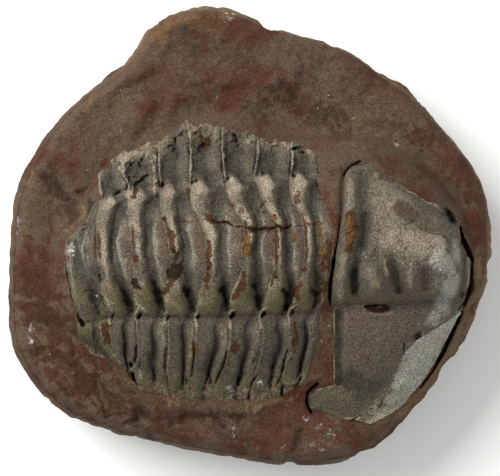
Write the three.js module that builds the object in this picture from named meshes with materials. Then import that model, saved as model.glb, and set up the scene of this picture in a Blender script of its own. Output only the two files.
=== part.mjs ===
// Trilobite fossil in half a stone nodule, lying on the nodule's worn back.
// Millimetres: +X points to the head, +Y to the short broken side of the thorax, +Z up.
// The origin is the middle of the bounding box's base.
import * as THREE from 'three';
import { mergeVertices } from 'three/addons/utils/BufferGeometryUtils.js';

const { clamp, lerp, smoothstep } = THREE.MathUtils;

// ---- driving dimensions ----
const NODULE = {
  bed: 15.5, // height of the split face at its rim
  swell: 2.2, // how much higher the split face lies near the middle
  roundOver: 1.8, // drop of the split face as it rounds over its rim
  around: 72, // facets round the rim
  rings: 19, // rings of facets on the split face
  outline: [
    [32.6, 0], [32.0, 6], [29.6, 10.5], [26, 14.9], [22.5, 18.8], [18.6, 21.5], [14.2, 24.7],
    [9.4, 26.6], [2.4, 28.6], [-3.2, 30.7], [-8.8, 30.8], [-13.3, 28.6], [-16.5, 24],
    [-20.3, 20.7], [-25.7, 15.9], [-29.1, 10.6], [-31.4, 5.7], [-32.3, -1], [-32.5, -11.7],
    [-31.2, -16.6], [-26.8, -22.6], [-21, -25.9], [-15.6, -27.4], [-6.8, -29.2], [5.3, -31],
    [11.3, -30.6], [16.7, -29.1], [20.9, -25.2], [24.6, -20.7], [27.9, -16.1], [30.6, -10.8],
    [32.3, -5.4],
  ],
  // the side below the rim: share of the rim's radius, share of the bed's height
  side: [[1, 0.72], [0.985, 0.5], [0.93, 0.28], [0.83, 0.1], [0.68, 0], [0.42, 0], [0.2, 0]],
};
const SHELL = {
  gap: 0.34, // joint between a plate and its neighbour
  bedding: 0.85, // joint between a plate and the stone core
  thickness: 0.9, // shell at the furrows between ridges
  crest: 1.1, // the ridge along each plate stands this much higher
  halfRing: 0.5, // the ridge in front of the furrow
  across: 24, // facets from tip to tip
};

// The animal's long profile: x, height of the axis above the bed, height of the axial furrows.
const PROFILE = [
  [-27, 0, 0], [-25.2, 1.2, 0.4], [-23.5, 4.6, 1.6], [-20, 6.4, 3], [-15, 7.6, 4], [-6, 8.8, 4.8],
  [4, 9.2, 5], [10, 8.8, 4.9], [14, 9, 4.8], [20, 9, 4.3], [24, 7.8, 3.4], [27.2, 5, 1.8],
  [29.3, 1.6, 0.4], [31, 0, 0],
];
// Where its lobes lie: x, y of the lower edge, lower furrow, upper furrow, upper edge.
const LOBES = [
  [-27, -12, -11, 2, 3], [-22.5, -14.5, -11.7, 3.6, 5.6], [-18.6, -18, -10.9, 5.4, 10],
  [-14.8, -21.3, -10.8, 6.2, 12], [-7, -22.4, -10.9, 7.1, 15.6], [1.8, -22.4, -10.5, 7.9, 14],
  [8.6, -22.4, -10.1, 8.2, 13.6], [12.5, -25.4, -9.3, 8.4, 14], [18, -25, -9.3, 7.2, 12.8],
  [24, -20, -8.8, 4, 9], [28.5, -11.5, -7.6, 0.6, 4], [31, -9.5, -6, -1, 2],
];

// The rear edge of each plate from the tail forward, and last the front edge of the thorax.
// low, mid and high are x at the lower furrow, on the axis and at the upper furrow.
const EDGES = [
  { lowTip: [-20.6, -16.8], low: -22.5, mid: -25.1, high: -22.2, highTip: [-21.6, 4.4] },
  { lowTip: [-16.8, -18.4], low: -18.5, mid: -20.5, high: -17.4, highTip: [-17.8, 9.4] },
  { lowTip: [-15.3, -21.1], low: -14.7, mid: -15.2, high: -15.5, highTip: [-15.5, 11.4] },
  { lowTip: [-11.5, -21.9], low: -11, mid: -9.7, high: -11.9, highTip: [-12.4, 13.2] },
  { lowTip: [-8.3, -22.2], low: -6.8, mid: -5.6, high: -7.9, highTip: [-8, 15.2] },
  { lowTip: [-5.2, -22.2], low: -2.4, mid: -0.4, high: -3, highTip: [-3.9, 15.2] },
  { lowTip: [-0.3, -22.2], low: 1.9, mid: 3.5, high: 1.6, highTip: [0.9, 13.3] },
  { lowTip: [4.3, -21.7], low: 5.6, mid: 7.2, high: 6, highTip: [5.4, 12.1] },
  { lowTip: [7.4, -20.3], low: 8.6, mid: 10.4, high: 9.2, highTip: [8.5, 11.8] },
];

// The head's edges, from the genal corner on the lower side to the upper side.
const HEAD_REAR = [
  [10.7, -24.4], [7.9, -22.4], [8.8, -20.5], [11, -19], [11.1, -14], [10.8, -9.4], [11.1, -4],
  [12, 0], [12.4, 5], [12.9, 8], [15.4, 9.6],
];
const HEAD_FRONT = [
  [13.4, -24.8], [15.9, -23.3], [18.2, -21.3], [19.8, -18.4], [20.7, -15.9], [22.3, -14.1],
  [24.4, -12.8], [28.1, -10.2], [29.3, -6], [29.3, -2.6], [27.9, 1.2], [23.4, 4.8], [16.8, 9.1],
];
const CHEEK_REAR = [
  [16.9, -24.9], [19.1, -21.7], [20.6, -18.8], [21.5, -16.5], [23, -14.9], [25, -13.5], [28.2, -11.1],
];
const CHEEK_FRONT = [
  [18.4, -25.2], [21.2, -22.6], [23.3, -19.8], [24.8, -17.4], [26.2, -15], [27.3, -13.1], [28.8, -11.4],
];

// ---- colours ----
const COLOURS = {
  nodule: 0x5f4035,
  cranidium: 0x6f665a,
  free_cheek: 0x77776a,
  thoracic_segment: 0x6a6256,
  pygidium: 0x645e52,
};

// A smooth curve through the rows of a table, read at x: one value for each column after the first.
function profileThrough(rows) {
  const xs = rows.map((row) => row[0]);
  const curve = new THREE.CubicInterpolant(xs, rows.flatMap((row) => row.slice(1)), rows[0].length - 1);
  return (x) => Array.from(curve.evaluate(clamp(x, xs[0], xs.at(-1))));
}

// A smooth plane curve through points; each point takes an equal share of the way along.
function curveThrough(points, closed = false) {
  return new THREE.CatmullRomCurve3(points.map(([x, y]) => new THREE.Vector3(x, y, 0)), closed);
}

const profileAt = profileThrough(PROFILE);
const lobesAt = profileThrough(LOBES);
const rim = curveThrough(NODULE.outline, true).getPoints(480);
rim.sort((a, b) => Math.atan2(a.y, a.x) - Math.atan2(b.y, b.x));

// Distance from the middle to the rim in one direction.
function rimRadius(angle) {
  const after = rim.findIndex((point) => Math.atan2(point.y, point.x) > angle);
  const b = rim[Math.max(after, 0)];
  const a = rim.at(after - 1);
  const direction = new THREE.Vector2(Math.cos(angle), Math.sin(angle));
  const run = new THREE.Vector2(b.x - a.x, b.y - a.y);
  return (a.x * run.y - a.y * run.x) / (direction.x * run.y - direction.y * run.x);
}

// How far the stone core under the shell rises above the split face.
function coreRise(x, y) {
  const [axis, furrow] = profileAt(x);
  const [lowEdge, lowFurrow, highFurrow, highEdge] = lobesAt(x);
  const middle = (lowFurrow + highFurrow) / 2;
  const side = (y - middle) / ((highFurrow - lowFurrow) / 2);
  if (Math.abs(side) < 1) {
    return furrow + (axis - furrow) * (1 - side * side) ** 0.7;
  }
  const edge = y < middle ? lowEdge : highEdge;
  const start = y < middle ? lowFurrow : highFurrow;
  return furrow * (1 - smoothstep((y - start) / (edge - start), 0.1, 1.12));
}

// Height of the stone's upper face, under the shell and round it.
function stoneHeight(x, y) {
  const share = Math.hypot(x, y) / rimRadius(Math.atan2(y, x));
  const face = NODULE.bed + NODULE.swell * (1 - share * share);
  return face + coreRise(x, y) - NODULE.roundOver * smoothstep(share, 0.93, 1);
}

function meshOf(name, colour, geometry) {
  const bare = geometry.deleteAttribute('normal').deleteAttribute('uv');
  const closed = mergeVertices(bare, 1e-4);
  closed.computeVertexNormals();
  const stone = new THREE.MeshStandardMaterial({ color: colour, roughness: 0.85, metalness: 0 });
  const mesh = new THREE.Mesh(closed, stone);
  mesh.name = name;
  return mesh;
}

function moveVertices(geometry, place) {
  const position = geometry.getAttribute('position');
  const point = new THREE.Vector3();
  for (let i = 0; i < position.count; i += 1) {
    place(point.fromBufferAttribute(position, i));
    position.setXYZ(i, point.x, point.y, point.z);
  }
  return geometry;
}

// The stone: a sphere whose upper rings are spread over the split face and whose lower rings make
// the rounded side and the flat worn back.
function makeNodule() {
  const rows = NODULE.rings + NODULE.side.length + 1;
  const ball = new THREE.SphereGeometry(1, NODULE.around, rows).rotateX(Math.PI / 2);
  return moveVertices(ball, (point) => {
    const ring = Math.round((Math.acos(clamp(point.z, -1, 1)) / Math.PI) * rows);
    const angle = Math.atan2(point.y, point.x);
    const flat = ring === 0 || ring === rows;
    const [share, level] = ring > NODULE.rings && !flat ? NODULE.side[ring - NODULE.rings - 1] : [0, 0];
    const reach = ring <= NODULE.rings ? (0.985 * ring) / NODULE.rings : share;
    const radius = flat ? 0 : reach * rimRadius(angle);
    const x = radius * Math.cos(angle);
    const y = radius * Math.sin(angle);
    point.set(x, y, ring <= NODULE.rings ? stoneHeight(x, y) : level * NODULE.bed);
  });
}

// A plate of shell between two edge curves, bedded on the stone core. Both curves run from the low
// tip to the high tip; toward is how far a point lies from the rear edge, as a share and in mm.
function makePlate(rear, front, across, along, reliefAt) {
  const slab = new THREE.BoxGeometry(1, 1, 1, along, across, 1);
  return moveVertices(slab, (point) => {
    const from = rear.getPoint(clamp(point.y + 0.5, 0, 1));
    const to = front.getPoint(clamp(point.y + 0.5, 0, 1));
    const share = point.x + 0.5;
    const x = lerp(from.x, to.x, share);
    const y = lerp(from.y, to.y, share);
    const bottom = stoneHeight(x, y) + SHELL.bedding;
    const top = bottom + reliefAt({ x, y, share, distance: share * from.distanceTo(to) });
    point.set(x, y, point.z > 0 ? top : bottom);
  });
}

// A rounded rise of height 1 centred on one value.
function ridge(value, centre, halfWidth) {
  return 1 - smoothstep(Math.abs(value - centre), 0, halfWidth);
}

// Place across the axial lobe: -1 at the lower furrow, 0 on the axis, 1 at the upper furrow.
function sideOf(x, y) {
  const [, lowFurrow, highFurrow] = lobesAt(x);
  return (2 * y - lowFurrow - highFurrow) / (highFurrow - lowFurrow);
}

// One joint between plates of the thorax, arched over the axial lobe, moved back by a setback.
function edgeCurve({ lowTip, low, mid, high, highTip }, setback = 0) {
  const lowFurrow = [low, lobesAt(low)[1]];
  const highFurrow = [high, lobesAt(high)[2]];
  const halfway = (a, b) => [(a[0] + b[0]) / 2, (a[1] + b[1]) / 2];
  const arch = [-0.66, -0.33, 0, 0.33, 0.66].map((side) => {
    const share = (side + 1) / 2;
    const bow = (mid - (low + high) / 2) * (1 - side * side);
    return [lerp(low, high, share) + bow, lerp(lowFurrow[1], highFurrow[1], share)];
  });
  const points = [lowTip, halfway(lowTip, lowFurrow), lowFurrow, ...arch, highFurrow, highTip];
  return curveThrough(points.map(([x, y]) => [x - setback, y]));
}

// A segment of the thorax: a ridge behind, a furrow, and the half ring that slides under the next.
function segmentRelief({ x, y, share }) {
  const [lowEdge, , , highEdge] = lobesAt(x);
  const tip = smoothstep(Math.min(y - lowEdge, highEdge - y), -0.5, 5);
  const ridges = SHELL.crest * ridge(share, 0.2, 0.45) + SHELL.halfRing * ridge(share, 1, 0.3);
  return SHELL.thickness + ridges * tip;
}

// The tail shield: three low rings that fade to the rear and to the sides.
function tailRelief({ x, y, share }) {
  const inside = clamp(1.25 - Math.abs(sideOf(x, y)), 0, 1);
  return SHELL.thickness + 0.5 * inside * share * (1 + Math.cos(2 * Math.PI * (3 * share - 0.4)));
}

// The head shield: an occipital ring and furrow, side lobes of the glabella and a rear border.
function headRelief({ x, y, distance }) {
  const side = sideOf(x, y);
  const onAxis = 1 - smoothstep(Math.abs(side), 0.85, 1.1);
  const ring = 0.9 * ridge(distance, 0.9, 2.2) * (0.45 + 0.55 * onAxis);
  const lobes = ridge(side, -0.62, 0.45) * (1 + Math.cos((2 * Math.PI * (x - 16.4)) / 4.6)) * 0.4;
  return SHELL.thickness + ring + (x > 14 && x < 24 ? lobes : 0);
}

const fossil = new THREE.Group();
fossil.add(meshOf('nodule', COLOURS.nodule, makeNodule()));

const tail = makePlate(edgeCurve(EDGES[0]), edgeCurve(EDGES[1], SHELL.gap), SHELL.across, 6, tailRelief);
fossil.add(meshOf('pygidium', COLOURS.pygidium, tail));

for (let i = 1; i < EDGES.length - 1; i += 1) {
  const front = edgeCurve(EDGES[i + 1], SHELL.gap);
  const plate = makePlate(edgeCurve(EDGES[i]), front, SHELL.across, 4, segmentRelief);
  const number = EDGES.length - 1 - i; // counted from the head
  fossil.add(meshOf(`thoracic_segment_${number}`, COLOURS.thoracic_segment, plate));
}

const head = makePlate(curveThrough(HEAD_REAR), curveThrough(HEAD_FRONT), 22, 11, headRelief);
fossil.add(meshOf('cranidium', COLOURS.cranidium, head));
const cheek = makePlate(curveThrough(CHEEK_REAR), curveThrough(CHEEK_FRONT), 10, 3, () => SHELL.thickness);
fossil.add(meshOf('free_cheek', COLOURS.free_cheek, cheek));

// Stand the fossil on its origin: the middle of the box's base.
const box = new THREE.Box3().setFromObject(fossil);
const middle = box.getCenter(new THREE.Vector3());
fossil.position.set(-middle.x, -middle.y, -box.min.z);

export default fossil;
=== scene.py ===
import math
import bmesh
import bpy
import numpy as np
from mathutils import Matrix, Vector


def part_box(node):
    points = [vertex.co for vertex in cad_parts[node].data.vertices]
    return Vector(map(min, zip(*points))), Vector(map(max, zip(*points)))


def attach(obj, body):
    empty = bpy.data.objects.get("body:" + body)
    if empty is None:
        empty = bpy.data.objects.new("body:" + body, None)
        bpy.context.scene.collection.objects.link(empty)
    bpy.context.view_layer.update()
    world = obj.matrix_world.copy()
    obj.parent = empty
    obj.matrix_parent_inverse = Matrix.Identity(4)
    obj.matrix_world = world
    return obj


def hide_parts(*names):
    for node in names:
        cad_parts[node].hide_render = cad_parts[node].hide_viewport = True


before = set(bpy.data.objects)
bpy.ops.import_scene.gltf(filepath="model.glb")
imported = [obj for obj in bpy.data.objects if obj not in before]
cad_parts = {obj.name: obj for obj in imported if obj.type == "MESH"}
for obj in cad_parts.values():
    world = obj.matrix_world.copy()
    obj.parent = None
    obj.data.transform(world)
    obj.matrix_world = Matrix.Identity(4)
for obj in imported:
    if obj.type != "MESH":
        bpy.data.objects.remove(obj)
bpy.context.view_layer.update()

# the drawing is in millimetres; the frame says how large one is and where the stone lies
drawing = {"width": 65.25}
stoneLow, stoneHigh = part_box("nodule")
mm = (stoneHigh.x - stoneLow.x) / drawing["width"]
origin = [(stoneLow.x + stoneHigh.x) / 2, (stoneLow.y + stoneHigh.y) / 2, stoneLow.z]


def ramp(value, low, high):
    # 0 below low, 1 above high, smooth between
    part = np.clip((value - low) / (high - low), 0, 1)
    return part * part * (3 - 2 * part)


def bump(value, centre, half):
    # a rounded rise of 1 at centre
    return 1 - ramp(np.abs(value - centre), 0, half)


def eased(t, gap, low, high, leanLow, leanHigh):
    # from low to high as t goes from 0 to 1, with a given slope at each end
    rise = (3 - 2 * t) * t * t
    return low * (1 - rise) + high * rise + gap * t * (1 - t) * (leanLow * (1 - t) - leanHigh * t)


def through(value, stops, column=1):
    # a smooth curve through the rows of a table, read at value
    stops = np.asarray(stops, float)
    at, level = stops[:, 0], stops[:, column]
    slope = np.gradient(level, at)
    i = np.clip(np.searchsorted(at, value) - 1, 0, len(at) - 2)
    gap = at[i + 1] - at[i]
    t = np.clip((value - at[i]) / gap, 0, 1)
    return eased(t, gap, level[i], level[i + 1], slope[i], slope[i + 1])


def curvePoint(points, share):
    # the point at a share of the way along a smooth curve through points
    stops = [(i / (len(points) - 1), *point) for i, point in enumerate(points)]
    return through(share, stops, 1), through(share, stops, 2)


def smoothLine(points, count=60):
    return list(zip(*curvePoint(points, np.linspace(0, 1, count))))


def lineDistance(x, y, points):
    # distance to a line of straight pieces; one point alone is a spot
    nearest = np.full(np.shape(x), 1e9)
    for a, b in zip(points[:-1] or points, points[1:] or points):
        run = np.subtract(b, a)
        t = np.clip(((x - a[0]) * run[0] + (y - a[1]) * run[1]) / max(run @ run, 1e-9), 0, 1)
        nearest = np.minimum(nearest, np.hypot(x - a[0] - t * run[0], y - a[1] - t * run[1]))
    return nearest


def nearness(x, y, points, full, none):
    # 1 within the first distance of a line, 0 past the second
    return 1 - ramp(lineDistance(x, y, points), full, none)


def insideDistance(x, y, outline):
    # distance to a closed outline, positive inside it
    closed = list(outline) + [outline[0]]
    inside = np.zeros(np.shape(x), bool)
    for a, b in zip(closed[:-1], closed[1:]):
        if a[1] != b[1]:
            crosses = (a[1] > y) != (b[1] > y)
            inside ^= crosses & (x < a[0] + (y - a[1]) / (b[1] - a[1]) * (b[0] - a[0]))
    return np.where(inside, 1, -1) * lineDistance(x, y, closed)


def grain(x, y, z, size, seed, octaves=4):
    # seeded lattice noise between about -1 and 1
    points = np.stack([x, y, z], axis=-1) / size
    total, weight = np.zeros(np.shape(x)), 1.0
    for octave in range(octaves):
        cell = points * 2 ** octave + 7.31 * seed
        base = np.floor(cell).astype(np.int64)
        part = cell - base
        part = part ** 3 * (part * (part * 6 - 15) + 10)
        for corner in np.ndindex(2, 2, 2):
            key = (base + corner) @ np.array([73856093, 19349663, 83492791]) + 977 * seed + octave
            key = ((key ^ (key >> 13)) * 1274126177) & 0x7FFFFFFF
            level = ((key ^ (key >> 15)) % 8191) / 4095.5 - 1
            total += weight * level * np.prod(np.where(corner, part, 1 - part), axis=-1)
        weight *= 0.5
    return total


def flatGrain(x, y, size, seed, octaves=4):
    return grain(x, y, 0 * x, size, seed, octaves)


def strokes(x, y, entries, soft=0.2, sway=0.45):
    # the strongest of some given lines and spots: points, half width, amount
    level = np.zeros(np.shape(x))
    for points, half, amount in entries:
        reach = half * 2
        (lowX, lowY), (highX, highY) = np.min(points, axis=0) - reach, np.max(points, axis=0) + reach
        near = (x > lowX) & (x < highX) & (y > lowY) & (y < highY)
        if near.any():
            nearX, nearY = x[near], y[near]
            uneven = half * (sway * flatGrain(nearX, nearY, 1.1, 6, 2)
                             + 0.6 * sway * flatGrain(nearX, nearY, 0.35, 7, 3))
            distance = lineDistance(nearX, nearY, points) + uneven
            part = amount * (1 - ramp(distance, half * soft, half))
            level[near] = np.where(np.abs(part) > np.abs(level[near]), part, level[near])
    return level


def makePiece(name, bm, place, finishes, marks, nodes):
    # place moves every vertex of a unit shape to its own spot in the drawing; marks are attributes
    mesh = bpy.data.meshes.new(name)
    bm.to_mesh(mesh)
    bm.free()
    unit = np.empty(len(mesh.vertices) * 3)
    mesh.vertices.foreach_get("co", unit)
    x, y, z = place(*unit.reshape(-1, 3).T)
    real = np.stack([x, y, z], axis=-1) * mm + origin
    mesh.vertices.foreach_set("co", real.ravel())
    for mark, level in marks(x, y, z).items():
        layer = mesh.attributes.new(mark, "FLOAT", "POINT")
        layer.data.foreach_set("value", np.clip(level, 0, 1).astype(np.float32))
    mesh.shade_smooth()
    mesh.set_sharp_from_angle(angle=math.radians(62))
    mesh.materials.append(finishes)
    piece = bpy.data.objects.new(name, mesh)
    bpy.context.collection.objects.link(piece)
    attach(piece, "root")
    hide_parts(*nodes)
    print(name, len(mesh.polygons), "faces")
    return piece


def unitSlab(along, across):
    # a closed slab 1 x 1 x 1 with a fine grid above and below
    bm = bmesh.new()
    bmesh.ops.create_grid(bm, x_segments=along, y_segments=across, size=0.5)
    raised = bmesh.ops.extrude_face_region(bm, geom=bm.faces[:], use_keep_orig=True)
    top = [item for item in raised["geom"] if isinstance(item, bmesh.types.BMVert)]
    bmesh.ops.translate(bm, verts=top, vec=(0, 0, 1))
    bmesh.ops.recalc_face_normals(bm, faces=bm.faces[:])
    return bm


class Wire:
    # a node's output; each sign used on it adds a Math node
    def __init__(self, paint, socket):
        self.paint, self.socket = paint, socket

    def combine(self, operation, *terms):
        return self.paint.node("ShaderNodeMath", {"operation": operation}, dict(enumerate(terms)))

    def __add__(self, other):
        return self.combine("ADD", self, other)

    def __mul__(self, other):
        return self.combine("MULTIPLY", self, other)

    def __sub__(self, other):
        return self.combine("SUBTRACT", self, other)

    def __rsub__(self, other):
        return self.combine("SUBTRACT", other, self)

    __radd__ = __add__
    __rmul__ = __mul__

    def between(self, low, high):
        # 0 below low and 1 above high
        return self.paint.node("ShaderNodeMapRange", {"interpolation_type": "SMOOTHSTEP"},
                               {"Value": self, "From Min": low, "From Max": high})


class Paint:
    def __init__(self, name):
        self.material = bpy.data.materials.new(name)
        self.material.use_nodes = True
        self.tree = self.material.node_tree
        self.shader = self.tree.nodes["Principled BSDF"]
        self.place = self.node("ShaderNodeTexCoord", output="Object")

    def node(self, kind, settings=None, inputs=None, output=0):
        made = self.tree.nodes.new(kind)
        for setting, value in (settings or {}).items():
            setattr(made, setting, value)
        for name, value in (inputs or {}).items():
            self.feed(made.inputs[name], value)
        return Wire(self, made.outputs[output])

    def feed(self, socket, value):
        if isinstance(value, Wire):
            self.tree.links.new(value.socket, socket)
        else:
            socket.default_value = value

    def mark(self, name):
        return self.node("ShaderNodeAttribute", {"attribute_name": name}, output="Fac")

    def cloud(self, size, detail=4, distortion=0, rough=0.55):
        # noise with lumps of a size in millimetres
        return self.node("ShaderNodeTexNoise", None, {
            "Vector": self.place, "Scale": 1 / (size * mm), "Detail": detail,
            "Roughness": rough, "Distortion": distortion})

    def specks(self, size, chance, radius=0.28, soft=0.1):
        # scattered dots: a share of the cells of a size each hold one
        cell = {"Vector": self.place, "Scale": 1 / (size * mm)}
        distance = self.node("ShaderNodeTexVoronoi", None, cell, "Distance")
        pick = self.node("ShaderNodeTexVoronoi", None, cell, "Color")
        level = self.node("ShaderNodeSeparateColor", None, {"Color": pick})
        dot = 1 - distance.between(radius - soft, radius)
        return dot * level.between(1 - chance, 1 - 0.8 * chance)

    def grit(self, tint, size, amount):
        # fine light and dark grains over a colour
        level = self.cloud(size, 2, 0, 0.8).between(0.34, 0.66)
        return self.blend(amount, tint, 0.02 + 0.96 * level, "OVERLAY")

    def blend(self, factor, under, over, mode="MIX"):
        settings = {"data_type": "RGBA", "blend_type": mode}
        return self.node("ShaderNodeMix", settings, {0: factor, 6: under, 7: over}, 2)

    def bumps(self, height, depth, strength=1.0):
        return self.node("ShaderNodeBump", None, {
            "Height": height, "Distance": depth * mm, "Strength": strength})

    def finish(self, tint, roughness, shine, normal=None):
        self.feed(self.shader.inputs["Base Color"], tint)
        self.feed(self.shader.inputs["Roughness"], roughness)
        self.shader.inputs["Specular IOR Level"].default_value = shine
        if normal:
            self.feed(self.shader.inputs["Normal"], normal)
        return self.material


def colour(red, green, blue):
    # a colour given as it looks on a screen, 0 to 255
    linear = [((c / 255 + 0.055) / 1.055) ** 2.4 for c in (red, green, blue)]
    return (*linear, 1)


stonePaint = {
    "base": colour(82, 67, 53),
    "red": colour(73, 43, 31),
    "grey": colour(78, 66, 52),
    "dark": colour(44, 31, 23),
    "tan": colour(104, 85, 61),
    "ochre": colour(112, 86, 54),
    # white specks of grain, and painted glints
    "white": colour(176, 172, 168),
    # the patches' attribute, colour and depth, in the order they lie on each other; the dark patch
    # is partly painted shade and the rim patch is painted light catching the edge
    "patches": [("red", "red", 0.92), ("dusk", "dark", 0.8), ("rim", "tan", 0.9), ("ochre", "ochre", 0.9),
                ("tan", "tan", 0.85)],
    "grit": 0.5, "shine": 0.12,
}


def paintStone():
    p = Paint("noduleStone")
    broad = p.cloud(9, 3, 0.4)
    middle = p.cloud(2.4, 5, 0.3)
    small = p.cloud(0.7, 4)
    tint = p.blend(broad.between(0.42, 0.62), stonePaint["base"], stonePaint["red"])
    tint = p.blend((1 - middle).between(0.48, 0.66) * 0.7, tint, stonePaint["grey"])
    for mark, over, depth in stonePaint["patches"]:
        ragged = (p.mark(mark) + 0.9 * small - 0.45).between(0.1, 0.9)
        tint = p.blend(ragged * depth, tint, stonePaint[over])
    tint = p.blend(small.between(0.5, 0.75) * 0.4, tint, stonePaint["dark"])
    tint = p.grit(tint, 0.18, stonePaint["grit"])
    tint = p.blend(p.cloud(0.22, 3, 0, 0.8).between(0.58, 0.74) * 0.2, tint, stonePaint["tan"])
    tint = p.blend(p.specks(0.5, 0.012) * 0.5, tint, stonePaint["white"])
    # painted glints on the stone
    tint = p.blend(p.mark("white") * small.between(0.48, 0.6) * 0.8, tint, stonePaint["white"])
    relief = p.cloud(0.26, 4, 0, 0.75) + 0.8 * small + 0.8 * middle
    return p.finish(tint, 0.72 + 0.2 * middle, stonePaint["shine"], p.bumps(relief, 0.16, 0.9))


shellPaint = {
    "base": colour(78, 72, 60),
    "tan": colour(143, 131, 113),
    # dark: random dark grain, and painted shade in hollows, furrows and on faces turned from the light
    "dusk": colour(46, 44, 38),
    "plum": colour(84, 69, 58),
    "olive": colour(84, 78, 52),
    "pale": colour(138, 139, 130),
    "stone": colour(84, 66, 50),
    "rust": colour(70, 42, 18),
    "ochre": colour(106, 72, 31),
    "brown": colour(35, 20, 8),
    "cheek": colour(137, 137, 124),
    # near-black: painted shade in holes, slits and the ends of the furrows
    "pitch": colour(17, 15, 10),
    # painted glints on the shell, and a few white specks
    "white": colour(190, 192, 190),
    "grit": 0.7, "shine": 0.12,
}


def paintShell(name, ground):
    p = Paint(name)
    middle = p.cloud(1.6, 5, 0.2)
    small = p.cloud(0.5, 4, 0, 0.65)
    fine = p.cloud(0.16, 2, 0, 0.7)
    tint = p.blend(middle.between(0.45, 0.68) * 0.2, ground, shellPaint["dusk"])
    for mark in ("plum", "olive", "pale", "tan", "dusk"):
        ragged = (p.mark(mark) + 0.4 * small + 0.5 * fine - 0.45).between(0, 1)
        tint = p.blend(ragged * 0.92, tint, shellPaint[mark])
    tint = p.blend(fine.between(0.55, 0.68) * 0.34, tint, shellPaint["tan"])
    tint = p.blend((1 - fine).between(0.58, 0.7) * 0.32, tint, shellPaint["dusk"])
    tint = p.blend(p.specks(0.4, 0.02) * 0.4, tint, shellPaint["tan"])
    for mark in ("stone", "rust", "ochre", "brown"):
        ragged = (p.mark(mark) + 0.7 * small + 0.4 * fine - 0.55).between(0.1, 0.65)
        second = shellPaint["tan" if mark == "stone" else "brown"]
        stain = p.blend(small.between(0.4, 0.6) * 0.6, shellPaint[mark], second)
        tint = p.blend(ragged * 0.95, tint, stain)
    tint = p.grit(tint, 0.17, shellPaint["grit"])
    # painted shade: holes and furrow ends darkened nearly to black
    tint = p.blend(p.mark("pitch").between(0.15, 0.95), tint, shellPaint["pitch"])
    # painted glints, and a few white specks
    tint = p.blend(p.mark("white") * small.between(0.48, 0.6) * 0.85, tint, shellPaint["white"])
    relief = p.cloud(0.2, 4, 0, 0.75) + 0.6 * small + 0.5 * middle
    return p.finish(tint, 0.55 + 0.25 * middle, shellPaint["shine"], p.bumps(relief, 0.1, 0.9))


animal = {
    # x, height of the axis above the split face, height of the furrows beside it
    "profile": [(-27, 0, 0), (-25.2, 1.2, 0.4), (-23.5, 4.6, 1.6), (-20, 6.4, 3), (-15, 7.6, 4),
                (-6, 8.8, 4.8), (4, 9.2, 5), (10, 8.8, 4.9), (14, 9.2, 4.8), (20, 9.3, 4.4),
                (24, 8.8, 3.6), (26.8, 7.2, 2.4), (28.4, 4.6, 1.2), (29.6, 1.6, 0.4), (31, 0, 0)],
    # x, y of the lower edge, lower furrow, upper furrow, upper edge
    "lobes": [(-27, -12, -11, 2, 3), (-22.5, -14.5, -11.7, 3.6, 5.6), (-18.6, -18, -10.9, 5.4, 10),
              (-14.8, -21.3, -10.8, 6.2, 12), (-7, -22.4, -10.9, 7.1, 15.6), (1.8, -22.4, -10.5, 7.9, 14),
              (8.6, -22.4, -10.1, 8.2, 13.6), (12.5, -25.4, -9.3, 8.4, 14), (18, -25, -9.3, 7.2, 12.8),
              (24, -20, -8.8, 4, 9), (28.5, -11.5, -7.6, 0.6, 4), (31, -9.5, -6, -1, 2)],
    "lift": 1.3,  # the shell's face above the stone core
    "depth": 3.2,  # how far the plates reach down into the stone
}


def lobes(x):
    return [through(x, animal["lobes"], column) for column in (1, 2, 3, 4)]


def sideOf(x, y):
    # -1 at the lower furrow, 0 on the axis, 1 at the upper furrow
    lowEdge, low, high, highEdge = lobes(x)
    return (2 * y - low - high) / (high - low)


def bodyRise(x, y):
    axis, furrow = (through(x, animal["profile"], column) for column in (1, 2))
    lowEdge, low, high, highEdge = lobes(x)
    side = sideOf(x, y)
    arch = furrow + (axis - furrow) * np.clip(1 - side * side, 0, 1) ** 0.7
    below, above = (low - y) / (low - lowEdge), (y - high) / (highEdge - high)
    pleura = furrow * (1 - ramp(np.where(side < 0, below, above), 0.1, 1.12))
    return np.where(np.abs(side) < 1, arch, pleura)


nodule = {
    "bed": 16.3, "swell": 2.2, "roundOver": 2.0,
    "grid": 280,
    # heights of the unevenness: along the rim, broken from the rim, broad, fine, in facets, on the side
    "scallop": 0.14, "chips": 0.3, "roll": 0.45, "rough": 0.13, "facets": 0.3, "bulge": 0.35,
    "calm": 0.75,  # how much smoother the stone is beside the plates
    "pocket": 3.2,  # depth of the stone's surface under the plates
    "ragged": 0.55, "raggedUpTo": 11,  # how far stone reaches in over the thorax, and up to which x
    "rimDrop": 0.3,
    "outline": [(32.6, 0), (32.0, 6), (29.6, 10.5), (26, 14.9), (22.5, 18.8), (18.6, 21.5), (14.2, 24.7),
                (9.4, 26.6), (2.4, 28.6), (-3.2, 30.7), (-8.8, 30.8), (-13.3, 28.6), (-16.5, 24),
                (-20.3, 20.7), (-25.7, 15.9), (-29.1, 10.6), (-31.4, 5.7), (-32.3, -1), (-32.5, -11.7),
                (-31.2, -16.6), (-26.8, -22.6), (-21, -25.9), (-15.6, -27.4), (-6.8, -29.2), (5.3, -31),
                (11.3, -30.6), (16.7, -29.1), (20.9, -25.2), (24.6, -20.7), (27.9, -16.1), (30.6, -10.8),
                (32.3, -5.4)],
    # down the side: share of the rim's radius, share of the bed's height
    "side": [(0.985, 0.9), (0.995, 0.8), (1, 0.7), (0.998, 0.6), (0.985, 0.48), (0.965, 0.37),
    (0.935, 0.27), (0.895, 0.18), (0.845, 0.105), (0.785, 0.05), (0.72, 0.015), (0.66, 0), (0.58, 0),
    (0.44, 0), (0.24, 0), (0, 0)],
}


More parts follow.
